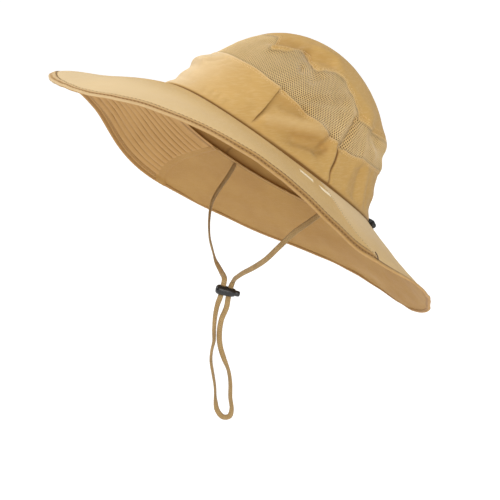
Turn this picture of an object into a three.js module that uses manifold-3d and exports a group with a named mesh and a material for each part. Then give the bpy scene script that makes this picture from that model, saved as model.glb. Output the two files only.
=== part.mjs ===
// A wide-brimmed sun hat with a vent band, a neck flap and a chin cord, in the attitude it is worn in.
// Millimetres and degrees. +Z is up, the wearer faces -Y and the wearer's left is +X.
// The origin is the centre of the head opening, in the plane where crown and brim meet.
import * as THREE from "three";
import { mergeVertices } from "three/addons/utils/BufferGeometryUtils.js";
import Module from "manifold-3d";

// ---- Driving dimensions ----
const WORN_PITCH = 36.9; // the hat is tipped back by this much, front rim up
const RING = { front: 100, side: 82, back: 99, arch: 2.7 }; // where crown and brim are sewn together
const CROWN_HEIGHT = 99;
const CROWN_WALL = 1.2;
const MESH_WALL = 1.0;
const BRIM_WALL = 1.8; // two plies and their interlining
const FLAP_WALL = 1.2;
const SEAM_GAP = 0.3;
const TUCK_ANGLE = 52; // the front panel's tucks, left and right
const REAR_SEAM_ANGLE = 97; // the seams between side panels and back panel
const BINDING = { width: 6.5, thickness: 2.8, above: 0.4 };
const HEM = { width: 3.5, thickness: 2.0, above: 0.4 };
const FRONT_LIP = { rise: 7.5, reach: 0.085, spread: 26 }; // the front edge curls up
const SEAM_OF_FLAP = { inner: 90, outer: 98 }; // angle of the seam between brim and flap at ring and edge

// The crown's outline at even steps up its wall, from the ring to the apex.
const CROWN_ROWS = [
  { front: 100, side: 82, back: 99 },
  { front: 89.5, side: 73.5, back: 90 },
  { front: 81.5, side: 67, back: 85.5 },
  { front: 72, side: 60, back: 80 },
  { front: 61.5, side: 52, back: 70.5 },
  { front: 49.2, side: 42.5, back: 55.5 },
  { front: 34.8, side: 31.3, back: 37 },
  { front: 18.2, side: 17, back: 18 },
  { front: 0, side: 0, back: 0 },
];

// The brim's outline every 30 degrees from the front: how far it reaches past the ring, how far it drops
// below it, and how early it drops (bow above 0 is steepest near the crown).
const BRIM_RAYS = [
  { reach: 79.5, drop: 49, bow: -0.46 },
  { reach: 66, drop: 34.5, bow: -0.42 },
  { reach: 72, drop: 28, bow: -0.3 },
  { reach: 91, drop: 41, bow: -0.2 },
  { reach: 81, drop: 33, bow: 0.1 },
  { reach: 72, drop: 22.5, bow: 0.42 },
  { reach: 95, drop: 24, bow: 0.62 },
];

// Height of the vent band's lower and upper edge round the crown.
const VENT_EDGES = [
  { angle: 0, lower: 44, upper: 76 },
  { angle: 30, lower: 43.5, upper: 72 },
  { angle: 50, lower: 41, upper: 75 },
  { angle: 62, lower: 39, upper: 68 },
  { angle: 75, lower: 36, upper: 71 },
  { angle: 90, lower: 33, upper: 73 },
  { angle: 104, lower: 31.5, upper: 63 },
  { angle: 120, lower: 36, upper: 61 },
  { angle: 150, lower: 40, upper: 62 },
  { angle: 180, lower: 41, upper: 62 },
];

// Soft folds of the crown: each runs from one angle and height to another. Negative angles are on the right.
const FOLDS = [
  { angle1: -28, height1: 33, angle2: 0, height2: 31, out: 4.4, width: 7 }, // front buckles
  { angle1: -24, height1: 18, angle2: 0, height2: 18, out: 1.2, width: 5 },
  { angle1: -22, height1: 9, angle2: 8, height2: 9, out: -1.2, width: 4 },
  { angle1: 55, height1: 9, angle2: 79, height2: 29, out: 2.2, width: 6 }, // side ridge and its hollows
  { angle1: 58, height1: 30, angle2: 70, height2: 33, out: -1.8, width: 6 },
  { angle1: 70, height1: 10, angle2: 84, height2: 20, out: -1.6, width: 6 },
  { angle1: 54, height1: 40, angle2: 53, height2: 8, out: -1.6, width: 3 }, // behind the left tuck
  { angle1: 91, height1: 33, angle2: 87, height2: 15, out: -1.4, width: 4 },
  { angle1: 26, height1: 66, angle2: 54, height2: 85, out: 2.2, width: 6 }, // ridge over the vent band
  { angle1: 48, height1: 79, angle2: 68, height2: 80, out: -3.0, width: 8 },
  { angle1: 48, height1: 76, angle2: 62, height2: 66, out: -2.6, width: 5 },
  { angle1: 76, height1: 86, angle2: 84, height2: 82, out: 1.8, width: 7 },
  { angle1: 104, height1: 60, angle2: 98, height2: 34, out: -1.8, width: 5 },
  { angle1: 115, height1: 66, angle2: 126, height2: 44, out: 1.8, width: 5 },
  { angle1: 120, height1: 54, angle2: 133, height2: 55, out: -2.8, width: 6 }, // rear dent and bulges
  { angle1: 150, height1: 61, angle2: 160, height2: 60, out: 2.8, width: 7 },
  { angle1: 146, height1: 44, angle2: 164, height2: 43, out: 1.9, width: 5 },
  { angle1: 140, height1: 20, angle2: 165, height2: 19, out: 1.3, width: 5 },
  { angle1: 118, height1: 28, angle2: 116, height2: 8, out: -1.2, width: 4 },
  { angle1: 127, height1: 30, angle2: 126, height2: 8, out: 1.2, width: 4 },
  { angle1: -54, height1: 40, angle2: -53, height2: 8, out: -1.6, width: 3 }, // behind the right tuck
  { angle1: -60, height1: 12, angle2: -84, height2: 27, out: 1.8, width: 7 },
  { angle1: -30, height1: 64, angle2: -60, height2: 80, out: 1.8, width: 7 },
  { angle1: -70, height1: 72, angle2: -84, height2: 60, out: -2.2, width: 7 },
  { angle1: -96, height1: 58, angle2: -100, height2: 34, out: -1.6, width: 6 },
  { angle1: -128, height1: 62, angle2: -136, height2: 44, out: 1.6, width: 6 },
  { angle1: -146, height1: 58, angle2: -152, height2: 50, out: -2.2, width: 7 },
  { angle1: -122, height1: 28, angle2: -120, height2: 8, out: -1.2, width: 5 },
  { angle1: 168, height1: 30, angle2: 172, height2: 8, out: -1.0, width: 5 },
];

// The chin cord's left half, from its anchor under the brim to the lock. The right half mirrors it in X.
const CHIN_ANCHOR = { angle: 104, share: 0.01 };
const CHIN_CORD_DIAMETER = 2.8; // as round as the flat cord's own section is large
const CHIN_CORD_LEFT = [
  { x: 77.6, y: 8.6, z: -27.6 },
  { x: 75.2, y: 2.2, z: -33.2 },
  { x: 71, y: -5.5, z: -39.6 },
  { x: 66, y: -12, z: -46 },
  { x: 57, y: -18.8, z: -57.1 },
  { x: 46, y: -24.1, z: -68.4 },
  { x: 34, y: -27.6, z: -76.4 },
  { x: 22, y: -30.6, z: -83 },
  { x: 12, y: -31.4, z: -88.8 },
];

// The loop below the lock: how far each point lies along the lock's level direction, and below its centre.
const CHIN_LOOP = [
  { along: -6.6, below: 11 },
  { along: -8.4, below: 20 },
  { along: -9.3, below: 31 },
  { along: -9.4, below: 40 },
  { along: -11.2, below: 48 },
  { along: -11.8, below: 56 },
  { along: -10.4, below: 66 },
  { along: -8.8, below: 77 },
  { along: -8.4, below: 89 },
  { along: -7, below: 96.5 },
  { along: -2.6, below: 101.8 },
  { along: 2.4, below: 101.2 },
  { along: 4.2, below: 95.5 },
  { along: 3.2, below: 86 },
  { along: 3.2, below: 74 },
  { along: 1.8, below: 64 },
  { along: -1.8, below: 54 },
  { along: -4.6, below: 44 },
  { along: -5.2, below: 34 },
  { along: -3.6, below: 23 },
  { along: 0.4, below: 13 },
];

// Both cord locks: a rounded barrel with a cross slot for two strands, and a sprung button.
const LOCK = {
  length: 16.4,
  height: 7.6,
  width: 9.6,
  taper: 0.1,
  squareness: 3.5,
  boreRadius: 2.6,
  buttonRadius: 2.3,
  endWall: 1.35,
  slotWidth: 3.5,
  slotLength: 9.5,
  buttonWeb: 0.8,
  travel: 1,
  buttonOut: 3,
};
const CHIN_LOCK_PLACE = { x: 0, y: -33.7, z: -101.3, heading: 61.6, dip: 14 };
const STRAND_OFFSET = 3; // the two strands pass this far either side of a lock's middle

// The size adjuster at the back, in the hat's own tipped frame.
const BACK_CORD_DIAMETER = 2.6;
const BACK_LOCK = { back: 111.5, height: 8.2, dip: 22, tail: 9 }; // the loop reaches this far past the lock
const BACK_EXIT = { angle: 2, height: 14.5 }; // where the strands leave the back panel, left and right

// ---- Small tools ----
const rad = THREE.MathUtils.degToRad;

// Catmull-Rom through evenly spaced numbers.
function smooth(values, position, before, after) {
  const last = values.length - 1;
  const i = Math.min(Math.max(Math.floor(position), 0), last - 1);
  const f = position - i;
  const p0 = i > 0 ? values[i - 1] : before;
  const p3 = i + 2 <= last ? values[i + 2] : after;
  const [p1, p2] = [values[i], values[i + 1]];
  const a = 2 * p1;
  const b = p2 - p0;
  const c = 2 * p0 - 5 * p1 + 4 * p2 - p3;
  const d = 3 * p1 - p0 - 3 * p2 + p3;
  return 0.5 * (a + b * f + c * f * f + d * f * f * f);
}

function smoothStep(low, high, x) {
  return THREE.MathUtils.smoothstep(x, low, high);
}

// The angle folded to 0..180, because the hat's tables are the same left and right.
function fromFront(angle) {
  const turned = ((angle % 360) + 360) % 360;
  return turned > 180 ? 360 - turned : turned;
}

function signedAngle(angle) {
  const turned = ((angle % 360) + 360) % 360;
  return turned > 180 ? turned - 360 : turned;
}

// One column of the brim's table at any angle.
function brimColumn(name, angle) {
  const values = BRIM_RAYS.map((row) => row[name]);
  const position = (fromFront(angle) / 180) * (values.length - 1);
  return smooth(values, position, values[1], values[values.length - 2]);
}

// One column of the vent band's table at any angle, eased between rows.
function ventColumn(name, angle) {
  const a = fromFront(angle);
  const k = Math.max(1, VENT_EDGES.findIndex((row) => row.angle >= a));
  const [low, high] = [VENT_EDGES[k - 1], VENT_EDGES[k]];
  const f = smoothStep(low.angle, high.angle, a);
  return low[name] + (high[name] - low[name]) * f;
}

// ---- Surfaces of the hat, in its own frame before it is tipped back ----
function ringHeight(angle) {
  return RING.arch * Math.cos(2 * rad(angle));
}

// How far up the crown's wall a height lies, 0 at the ring and 1 at the apex.
function wallFraction(height) {
  return Math.asin(Math.min(Math.max(height / CROWN_HEIGHT, 0), 1)) / (Math.PI / 2);
}

function crownRadius(name, fraction) {
  const values = CROWN_ROWS.map((row) => row[name]);
  const last = values.length - 1;
  return smooth(values, fraction * last, 2 * values[0] - values[1], -values[last - 1]);
}

// The outward push of all folds at an angle and height.
function foldPush(angle, height) {
  let push = 0;
  for (const fold of FOLDS) {
    const mm = rad(1) * crownRadius("side", wallFraction(height));
    const px = signedAngle(angle - fold.angle1) * mm;
    const py = height - fold.height1;
    const sx = (fold.angle2 - fold.angle1) * mm;
    const sy = fold.height2 - fold.height1;
    const t = THREE.MathUtils.clamp((px * sx + py * sy) / (sx * sx + sy * sy + 1e-6), 0, 1);
    const distance = Math.hypot(px - t * sx, py - t * sy);
    push += fold.out * Math.exp(-((distance / fold.width) ** 2));
  }
  return push;
}

function crownPoint(angle, fraction) {
  const a = rad(angle);
  const height = CROWN_HEIGHT * Math.sin((fraction * Math.PI) / 2);
  const length = crownRadius(Math.cos(a) > 0 ? "front" : "back", fraction);
  const side = crownRadius("side", fraction);
  const fade = smoothStep(0, 5, height) * (1 - smoothStep(0.85, 1, fraction));
  const push = 1 + (foldPush(angle, height) * fade) / Math.max(side, 20);
  const lift = ringHeight(angle) * (1 - fraction) ** 2;
  return new THREE.Vector3(side * push * Math.sin(a), -length * push * Math.cos(a), height + lift);
}

// A point of the brim's upper face: share 0 lies on the ring, 1 on the outer edge, below 0 inside the ring.
function brimPoint(angle, share) {
  const a = rad(angle);
  const length = Math.cos(a) > 0 ? RING.front : RING.back;
  const out = brimColumn("reach", angle) * share;
  const bow = brimColumn("bow", angle);
  const s = Math.max(share, 0);
  const fall = brimColumn("drop", angle) * (s + bow * s * (1 - s));
  const lipShare = smoothStep(1 - FRONT_LIP.reach, 1.02, share);
  const lip = FRONT_LIP.rise * lipShare * Math.exp(-((signedAngle(angle) / FRONT_LIP.spread) ** 2));
  const z = ringHeight(angle) * (1 - s) - fall + lip;
  return new THREE.Vector3((RING.side + out) * Math.sin(a), -(length + out) * Math.cos(a), z);
}

// The share of the brim that lies a given distance in from its edge.
function shareBeforeEdge(angle, distance) {
  const width = Math.hypot(brimColumn("reach", angle), brimColumn("drop", angle));
  return 1 - distance / width;
}

// ---- Solids from surfaces ----
function evenSteps(low, high, count) {
  return Array.from({ length: count + 1 }, (_, i) => low + ((high - low) * i) / count);
}

function normalOf(surface, u, v, du, dv) {
  const alongU = surface(u + du, v).sub(surface(u - du, v));
  const alongV = surface(u, v + dv).sub(surface(u, v - dv));
  const normal = alongU.cross(alongV);
  return normal.length() < 1e-9 ? new THREE.Vector3(0, 0, 1) : normal.normalize();
}

// A closed wall: one face on the surface, the other the thickness below it. closed joins the ends round
// the hat, apex lets the last row meet in one point, levelBase cuts the first row level.
function wall(surface, us, vs, thickness, { closed = false, apex = false, levelBase = false } = {}) {
  const positions = [];
  const rows = vs.length;
  for (const u of us) {
    vs.forEach((v, j) => {
      const top = surface(u, v);
      const atApex = apex && j === rows - 1;
      const normal = atApex ? new THREE.Vector3(0, 0, 1) : normalOf(surface, u, v, 0.5, 0.004);
      if (levelBase && j === 0) normal.setZ(0).normalize();
      const under = top.clone().addScaledVector(normal, -thickness);
      positions.push(top.x, top.y, top.z, under.x, under.y, under.z);
    });
  }
  const columns = us.length;
  const at = (i, j, side) => 2 * ((closed ? i % columns : i) * rows + j) + side;
  const faces = [];
  const quad = (a, b, c, d) => faces.push(a, b, c, a, c, d);
  const spans = closed ? columns : columns - 1;
  for (let i = 0; i < spans; i++) {
    for (let j = 0; j < rows - 1; j++) {
      quad(at(i, j, 0), at(i + 1, j, 0), at(i + 1, j + 1, 0), at(i, j + 1, 0));
      quad(at(i, j + 1, 1), at(i + 1, j + 1, 1), at(i + 1, j, 1), at(i, j, 1));
    }
    quad(at(i + 1, 0, 0), at(i, 0, 0), at(i, 0, 1), at(i + 1, 0, 1));
    if (!apex) quad(at(i, rows - 1, 0), at(i + 1, rows - 1, 0), at(i + 1, rows - 1, 1), at(i, rows - 1, 1));
  }
  for (let j = 0; !closed && j < rows - 1; j++) {
    quad(at(0, j, 0), at(0, j + 1, 0), at(0, j + 1, 1), at(0, j, 1));
    const end = columns - 1;
    quad(at(end, j + 1, 0), at(end, j, 0), at(end, j, 1), at(end, j + 1, 1));
  }
  return withoutSlivers(positions, faces);
}

// Merges equal points and leaves out the triangles that have shrunk to a line.
function withoutSlivers(positions, faces) {
  const raw = new THREE.BufferGeometry();
  raw.setAttribute("position", new THREE.Float32BufferAttribute(positions, 3));
  raw.setIndex(faces);
  const merged = mergeVertices(raw, 1e-3);
  const index = merged.index.array;
  const kept = [];
  for (let i = 0; i < index.length; i += 3) {
    const [a, b, c] = [index[i], index[i + 1], index[i + 2]];
    if (a !== b && b !== c && c !== a) kept.push(a, b, c);
  }
  merged.setIndex(kept);
  merged.computeVertexNormals();
  return merged;
}

// ---- Booleans for the hard pieces ----
const wasm = await Module();
wasm.setup();

function solid(geometry) {
  const bare = geometry.clone();
  bare.deleteAttribute("normal");
  bare.deleteAttribute("uv");
  const merged = mergeVertices(bare, 1e-4);
  return new wasm.Manifold(
    new wasm.Mesh({
      numProp: 3,
      vertProperties: Float32Array.from(merged.attributes.position.array),
      triVerts: Uint32Array.from(merged.index.array),
    }),
  );
}

function geometryOf(manifold) {
  const mesh = manifold.getMesh();
  const geometry = new THREE.BufferGeometry();
  geometry.setAttribute("position", new THREE.BufferAttribute(mesh.vertProperties, 3));
  geometry.setIndex(new THREE.BufferAttribute(mesh.triVerts, 1));
  geometry.computeVertexNormals();
  return geometry;
}

// A solid turned from a half outline about X: each row gives a place along X and a radius.
function turned(outline, segments) {
  const profile = outline.map(([x, radius]) => new THREE.Vector2(radius, x));
  return new THREE.LatheGeometry(profile, segments).rotateZ(-Math.PI / 2);
}

// ---- Materials ----
function finish(color, roughness, metalness = 0) {
  return new THREE.MeshStandardMaterial({ color, roughness, metalness });
}
const COLORS = { cloth: 0xd6b27c, mesh: 0xbfa06a, brim: 0xdcbc8c, cord: 0xb89a66, plastic: 0x17181a };

// ---- The hat's soft pieces ----
const worn = new THREE.Group();
worn.rotation.x = -rad(WORN_PITCH);

function add(group, name, geometry, material) {
  const mesh = new THREE.Mesh(geometry, material);
  mesh.name = name;
  group.add(mesh);
  return mesh;
}

// Places round the hat, in degrees. Neighbouring pieces share them, so that their seams keep one width.
const SEAM_ANGLES = [TUCK_ANGLE, REAR_SEAM_ANGLE, 360 - REAR_SEAM_ANGLE, 360 - TUCK_ANGLE];
const ALL_ROUND = [...evenSteps(0, 354, 59), ...SEAM_ANGLES].sort((a, b) => a - b);

function angles(from, to) {
  const turns = [...ALL_ROUND.map((a) => a - 360), ...ALL_ROUND];
  return [from, ...turns.filter((a) => a > from + 1 && a < to - 1), to];
}

// A strip of crown between two heights that may change round the crown.
function crownStrip(lower, upper) {
  return (angle, v) => {
    const low = wallFraction(lower(angle));
    const high = wallFraction(upper(angle));
    return crownPoint(angle, low + (high - low) * v);
  };
}

const seatHeight = () => SEAM_GAP;
const ventLower = (shift) => (angle) => ventColumn("lower", angle) + shift;
const ventUpper = (shift) => (angle) => ventColumn("upper", angle) + shift;
const halfGap = SEAM_GAP / 2;

function addLowerPanel(name, from, to) {
  const edge = halfGap / RING.side / rad(1);
  const strip = crownStrip(seatHeight, ventLower(-halfGap));
  const columns = angles(from + edge, to - edge);
  const geometry = wall(strip, columns, evenSteps(0, 1, 7), CROWN_WALL, { levelBase: true });
  add(worn, name, geometry, finish(COLORS.cloth, 0.8));
}

addLowerPanel("crown_front_panel", -TUCK_ANGLE, TUCK_ANGLE);
addLowerPanel("crown_side_panel_left", TUCK_ANGLE, REAR_SEAM_ANGLE);
addLowerPanel("crown_side_panel_right", -REAR_SEAM_ANGLE, -TUCK_ANGLE);
addLowerPanel("crown_back_panel", REAR_SEAM_ANGLE, 360 - REAR_SEAM_ANGLE);

const ventStrip = crownStrip(ventLower(halfGap), ventUpper(-halfGap));
const ventBand = wall(ventStrip, ALL_ROUND, evenSteps(0, 1, 6), MESH_WALL, { closed: true });
add(worn, "mesh_band", ventBand, finish(COLORS.mesh, 0.9));

const topStrip = crownStrip(ventUpper(halfGap), () => CROWN_HEIGHT);
const topPanel = wall(topStrip, ALL_ROUND, evenSteps(0, 1, 6), CROWN_WALL, { closed: true, apex: true });
add(worn, "crown_top_panel", topPanel, finish(COLORS.cloth, 0.8));

// The seam between brim and flap runs from the ring to the edge, a little further back at the edge.
function flapSeam(share) {
  return SEAM_OF_FLAP.inner + (SEAM_OF_FLAP.outer - SEAM_OF_FLAP.inner) * share;
}

// A piece of brim that spans the angles between two seams and the shares between two rims. Its surface
// runs from the outer rim at v 0 to the inner one at v 1, so that its upper face looks up. A piece with no
// inner rim ends at the ring, and goes on to its tucked-in edge at v 2.
function brimStrip(seams, rims) {
  return (turn, v) => {
    const guess = seams.from(0.5) + (seams.to(0.5) - seams.from(0.5)) * turn;
    const outer = rims.outer(guess);
    const inner = rims.inner ? rims.inner(guess) : 0;
    const share = v > 1 && !rims.inner ? TUCKED_IN * (v - 1) : outer + (inner - outer) * v;
    const from = seams.from(share);
    return brimPoint(from + (seams.to(share) - from) * turn, share);
  };
}

const brimGap = 0.15;
const frontFrom = (share) => -flapSeam(share) + brimGap;
const frontTo = (share) => flapSeam(share) - brimGap;
const flapFrom = (share) => flapSeam(share) + brimGap;
const flapTo = (share) => 360 - flapSeam(share) - brimGap;
const TUCKED_IN = -0.018; // the brim's inner rim lies just inside the crown's wall
const edgeRim = () => 1;
const inFromEdge = (distance) => (angle) => shareBeforeEdge(angle, distance);

// Adds a piece of brim between two seams and two rims. above lifts its upper face over the brim's own.
function addBrimPiece(name, seams, rims, grid, thickness, above = 0) {
  const strip = brimStrip(seams, rims);
  const surface = (u, v) => strip(u / 180, v);
  const lifted = (u, v) => surface(u, v).addScaledVector(normalOf(surface, u, v, 0.5, 0.004), above);
  const rows = evenSteps(0, 1, grid.rows).concat(rims.inner ? [] : [2]);
  const geometry = wall(lifted, evenSteps(0, 180, grid.columns), rows, thickness);
  add(worn, name, geometry, finish(COLORS.brim, 0.85));
}

const front = { from: frontFrom, to: frontTo };
const flap = { from: flapFrom, to: flapTo };
const frontRims = { outer: inFromEdge(BINDING.width + SEAM_GAP) };
const bindingRims = { outer: edgeRim, inner: inFromEdge(BINDING.width) };
const flapRims = { outer: inFromEdge(HEM.width + SEAM_GAP) };
const hemRims = { outer: edgeRim, inner: inFromEdge(HEM.width) };
addBrimPiece("brim_front", front, frontRims, { columns: 36, rows: 8 }, BRIM_WALL);
const bindingGrid = { columns: 36, rows: 2 };
addBrimPiece("brim_front_binding", front, bindingRims, bindingGrid, BINDING.thickness, BINDING.above);
addBrimPiece("brim_back_flap", flap, flapRims, { columns: 32, rows: 8 }, FLAP_WALL);
addBrimPiece("flap_hem", flap, hemRims, { columns: 32, rows: 1 }, HEM.thickness, HEM.above);

// ---- Cords ----
function cordTube(points, diameter, steps) {
  const path = new THREE.CatmullRomCurve3(points, false, "centripetal");
  const section = new THREE.Shape();
  section.absarc(0, 0, diameter / 2, 0, 2 * Math.PI, false);
  const options = { steps, extrudePath: path, curveSegments: 4, bevelEnabled: false };
  return new THREE.ExtrudeGeometry(section, options);
}

// ---- Cord locks: X along the barrel towards the button, Z across the strands, Y down the strands ----
function lockOutline(radius) {
  const half = LOCK.length / 2;
  return evenSteps(-1, 1, 16).map((f) => {
    const x = Math.sin((f * Math.PI) / 2);
    const round = Math.max(1 - Math.abs(x) ** LOCK.squareness, 0) ** (1 / LOCK.squareness);
    return [half * x, Math.abs(f) === 1 ? 0 : radius * round * (1 - LOCK.taper * x)];
  });
}

function cordSlot(from, to) {
  const slot = new THREE.BoxGeometry(to - from, LOCK.width * 2, LOCK.slotWidth);
  return solid(slot.translate((from + to) / 2, 0, 0));
}

function lockBody() {
  const half = LOCK.length / 2;
  const shell = turned(lockOutline(LOCK.height / 2), 28);
  shell.scale(1, 1, LOCK.width / LOCK.height);
  const innerEnd = -half + LOCK.endWall;
  const r = LOCK.boreRadius;
  const bore = turned([[innerEnd, 0], [innerEnd, r], [half + 1, r], [half + 1, 0]], 20);
  const slotHalf = LOCK.slotLength / 2;
  return geometryOf(solid(shell).subtract(solid(bore)).subtract(cordSlot(-slotHalf, slotHalf)));
}

function lockButton() {
  const slotHalf = LOCK.slotLength / 2;
  const innerEnd = -slotHalf - LOCK.buttonWeb;
  const mouth = LOCK.length / 2;
  const tip = mouth + LOCK.buttonOut;
  const r = LOCK.buttonRadius;
  const cap = [[mouth + 0.9, r], [tip - 0.8, r * 0.86], [tip, r * 0.55], [tip, 0]];
  const outline = [[innerEnd, 0], [innerEnd, r], ...cap];
  return geometryOf(solid(turned(outline, 20)).subtract(cordSlot(-slotHalf, slotHalf + LOCK.travel)));
}

// Adds a lock's body and button to a group that holds its place and turn.
function addLock(frame, name) {
  add(frame, `${name}_body`, lockBody(), finish(COLORS.plastic, 0.35));
  add(frame, `${name}_button`, lockButton(), finish(COLORS.plastic, 0.35));
}

// The chin lock: its barrel points level along the heading and dips, its strands run down.
const hanging = new THREE.Group();
const heading = rad(CHIN_LOCK_PLACE.heading);
const dip = rad(CHIN_LOCK_PLACE.dip);
const level = new THREE.Vector3(Math.cos(heading), Math.sin(heading), 0);
const up = new THREE.Vector3(0, 0, 1);
const barrel = level.clone().multiplyScalar(Math.cos(dip)).addScaledVector(up, -Math.sin(dip));
const strand = level.clone().multiplyScalar(Math.sin(dip)).addScaledVector(up, Math.cos(dip));
const chinLock = new THREE.Group();
chinLock.matrixAutoUpdate = false;
chinLock.matrix.makeBasis(barrel, strand, barrel.clone().cross(strand));
chinLock.matrix.setPosition(CHIN_LOCK_PLACE.x, CHIN_LOCK_PLACE.y, CHIN_LOCK_PLACE.z);
hanging.add(chinLock);
addLock(chinLock, "chin_lock");

// A point of the lock's frame, in the hat's standing frame.
const lockPoint = (x, y, z) => new THREE.Vector3(x, y, z).applyMatrix4(chinLock.matrix);
const lockCentre = lockPoint(0, 0, 0);

function loopPoint({ along, below }) {
  return lockCentre.clone().addScaledVector(level, along).addScaledVector(up, -below);
}

// Where the cord starts, square to the brim's underside, and the next point straight below it.
worn.updateMatrixWorld(true);
function chinAnchor(distance) {
  const { angle, share } = CHIN_ANCHOR;
  const normal = normalOf((u, v) => brimPoint(u, -v), angle, -share, 0.5, 0.004);
  const below = brimPoint(angle, share).addScaledVector(normal, -(FLAP_WALL + SEAM_GAP + distance));
  return below.applyMatrix4(worn.matrixWorld);
}
const hangingHalf = CHIN_CORD_LEFT.map(({ x, y, z }) => new THREE.Vector3(x, y, z));
const leftHalf = [chinAnchor(0.05), chinAnchor(1), chinAnchor(2), ...hangingHalf];
const rightHalf = leftHalf.map(({ x, y, z }) => new THREE.Vector3(-x, y, z)).reverse();
const chinRoute = [
  ...leftHalf,
  lockPoint(STRAND_OFFSET + 0.8, 9, 0),
  lockPoint(STRAND_OFFSET, 4.6, 0),
  lockPoint(STRAND_OFFSET, -4.6, 0),
  ...CHIN_LOOP.slice().reverse().map(loopPoint),
  lockPoint(-STRAND_OFFSET, -4.6, 0),
  lockPoint(-STRAND_OFFSET, 4.6, 0),
  lockPoint(-STRAND_OFFSET - 0.4, 9, 0),
  ...rightHalf,
];
add(hanging, "chin_cord", cordTube(chinRoute, CHIN_CORD_DIAMETER, 80), finish(COLORS.cord, 0.8));

// The size adjuster: a loop of cord that stands out of the back panel through a lock.
const backLock = new THREE.Group();
backLock.position.set(0, BACK_LOCK.back, BACK_LOCK.height);
backLock.rotation.x = -rad(BACK_LOCK.dip);
backLock.updateMatrix();
worn.add(backLock);
addLock(backLock, "back_lock");
const backPoint = (x, y, z) => new THREE.Vector3(x, y, z).applyMatrix4(backLock.matrix);

// Where one strand leaves the back panel, and a little further out.
function backExit(side, distance) {
  const angle = 180 - side * BACK_EXIT.angle;
  const point = crownPoint(angle, wallFraction(BACK_EXIT.height));
  const outward = new THREE.Vector3(0, 1, -0.05).normalize();
  return point.addScaledVector(outward, SEAM_GAP + distance);
}
const beyond = BACK_LOCK.tail;
const adjusterRoute = [
  backExit(1, 0.7),
  backExit(1, 1.8),
  backExit(1, 3.2),
  backPoint(STRAND_OFFSET, -9, 0.2),
  backPoint(STRAND_OFFSET, -4, 0),
  backPoint(STRAND_OFFSET, 4, 0),
  backPoint(STRAND_OFFSET * 1.05, beyond * 0.75, -0.3),
  backPoint(STRAND_OFFSET * 0.7, beyond, -0.9),
  backPoint(0, beyond + 1.4, -1.2),
  backPoint(-STRAND_OFFSET * 0.7, beyond, -0.9),
  backPoint(-STRAND_OFFSET * 1.05, beyond * 0.75, -0.3),
  backPoint(-STRAND_OFFSET, 4, 0),
  backPoint(-STRAND_OFFSET, -4, 0),
  backPoint(-STRAND_OFFSET, -9, 0.2),
  backExit(-1, 3.2),
  backExit(-1, 1.8),
  backExit(-1, 0.7),
];
add(worn, "back_cord", cordTube(adjusterRoute, BACK_CORD_DIAMETER, 40), finish(COLORS.plastic, 0.7));

const hat = new THREE.Group();
hat.add(worn, hanging);
export default hat;
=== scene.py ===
"""The looks of the sun hat: its cloth, vent mesh, stitching, cords and cord locks, in metres."""

import math

import bmesh
import bpy
import numpy as np
from mathutils import Matrix, Vector


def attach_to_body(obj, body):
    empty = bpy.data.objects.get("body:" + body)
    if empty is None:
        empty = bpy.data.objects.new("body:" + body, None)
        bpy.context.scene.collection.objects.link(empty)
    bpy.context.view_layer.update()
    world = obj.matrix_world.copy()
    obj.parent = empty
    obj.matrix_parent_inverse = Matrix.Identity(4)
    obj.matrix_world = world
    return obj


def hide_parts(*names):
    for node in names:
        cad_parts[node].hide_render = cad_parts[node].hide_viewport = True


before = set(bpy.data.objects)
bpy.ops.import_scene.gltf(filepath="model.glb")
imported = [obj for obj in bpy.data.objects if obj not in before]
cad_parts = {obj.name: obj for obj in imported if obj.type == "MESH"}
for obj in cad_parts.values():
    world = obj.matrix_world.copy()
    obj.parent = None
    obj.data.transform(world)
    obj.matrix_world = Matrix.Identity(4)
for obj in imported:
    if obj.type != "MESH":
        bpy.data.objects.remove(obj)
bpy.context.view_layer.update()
scene = bpy.context.scene

# ---- Camera ----
camera_data = bpy.data.cameras.new("camera")
camera_data.sensor_width = 36
camera_data.lens = 130.8
camera_data.clip_start = 0.05
camera_data.clip_end = 50
camera = bpy.data.objects.new("camera", camera_data)
scene.collection.objects.link(camera)
camera.location = (1.21087, -0.66729, 0.23159)
camera.rotation_mode = "QUATERNION"
camera.rotation_quaternion = Vector((-0.859, 0.4645, -0.2147)).to_track_quat("-Z", "Y")
scene.camera = camera

# ---- The hat's driving sizes, in millimetres and degrees, in its own frame before it is tipped back ----
PITCH = math.radians(36.9)
DEGREE = math.radians(1)
RING = {"front": 100, "side": 82, "back": 99, "arch": 2.7}
CROWN_HEIGHT = 99
TUCK_ANGLE = 52
REAR_SEAM_ANGLE = 97
CROWN_ROWS = {
    "front": [100, 89.5, 81.5, 72, 61.5, 49.2, 34.8, 18.2, 0],
    "side": [82, 73.5, 67, 60, 52, 42.5, 31.3, 17, 0],
    "back": [99, 90, 85.5, 80, 70.5, 55.5, 37, 18, 0],
}
# The brim along rays from the front to the back of either side.
RAY_STEP = 30
BRIM_RAYS = {
    "reach": [79.5, 66, 72, 91, 81, 72, 95],
    "drop": [49, 34.5, 28, 41, 33, 22.5, 24],
    "bow": [-0.46, -0.42, -0.3, -0.2, 0.1, 0.42, 0.62],
}
# Height of the vent band's edges round the crown. The upper edge has slipped into folds on the wearer's left.
VENT_LOWER = [
    (0, 44), (30, 43.5), (50, 41), (62, 39), (75, 36), (90, 33), (104, 31.5), (120, 36), (150, 40),
    (180, 41),
]
VENT_UPPER = {
    "right": [
        (0, 76), (30, 72), (50, 75), (62, 68), (75, 71), (90, 73), (104, 63), (120, 61), (150, 62), (180, 62),
    ],
    "left": [
        (0, 76), (14, 78), (22, 71), (29, 63), (36, 67), (43, 75), (49, 76), (56, 72), (63, 68), (70, 73),
        (77, 76), (86, 76), (95, 70.5), (102, 63.5), (108, 58.5), (120, 58), (150, 62), (180, 62),
    ],
}
FRONT_LIP = {"rise": 7.5, "reach": 0.085, "spread": 26}
TUCKED_IN = -0.055

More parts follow.
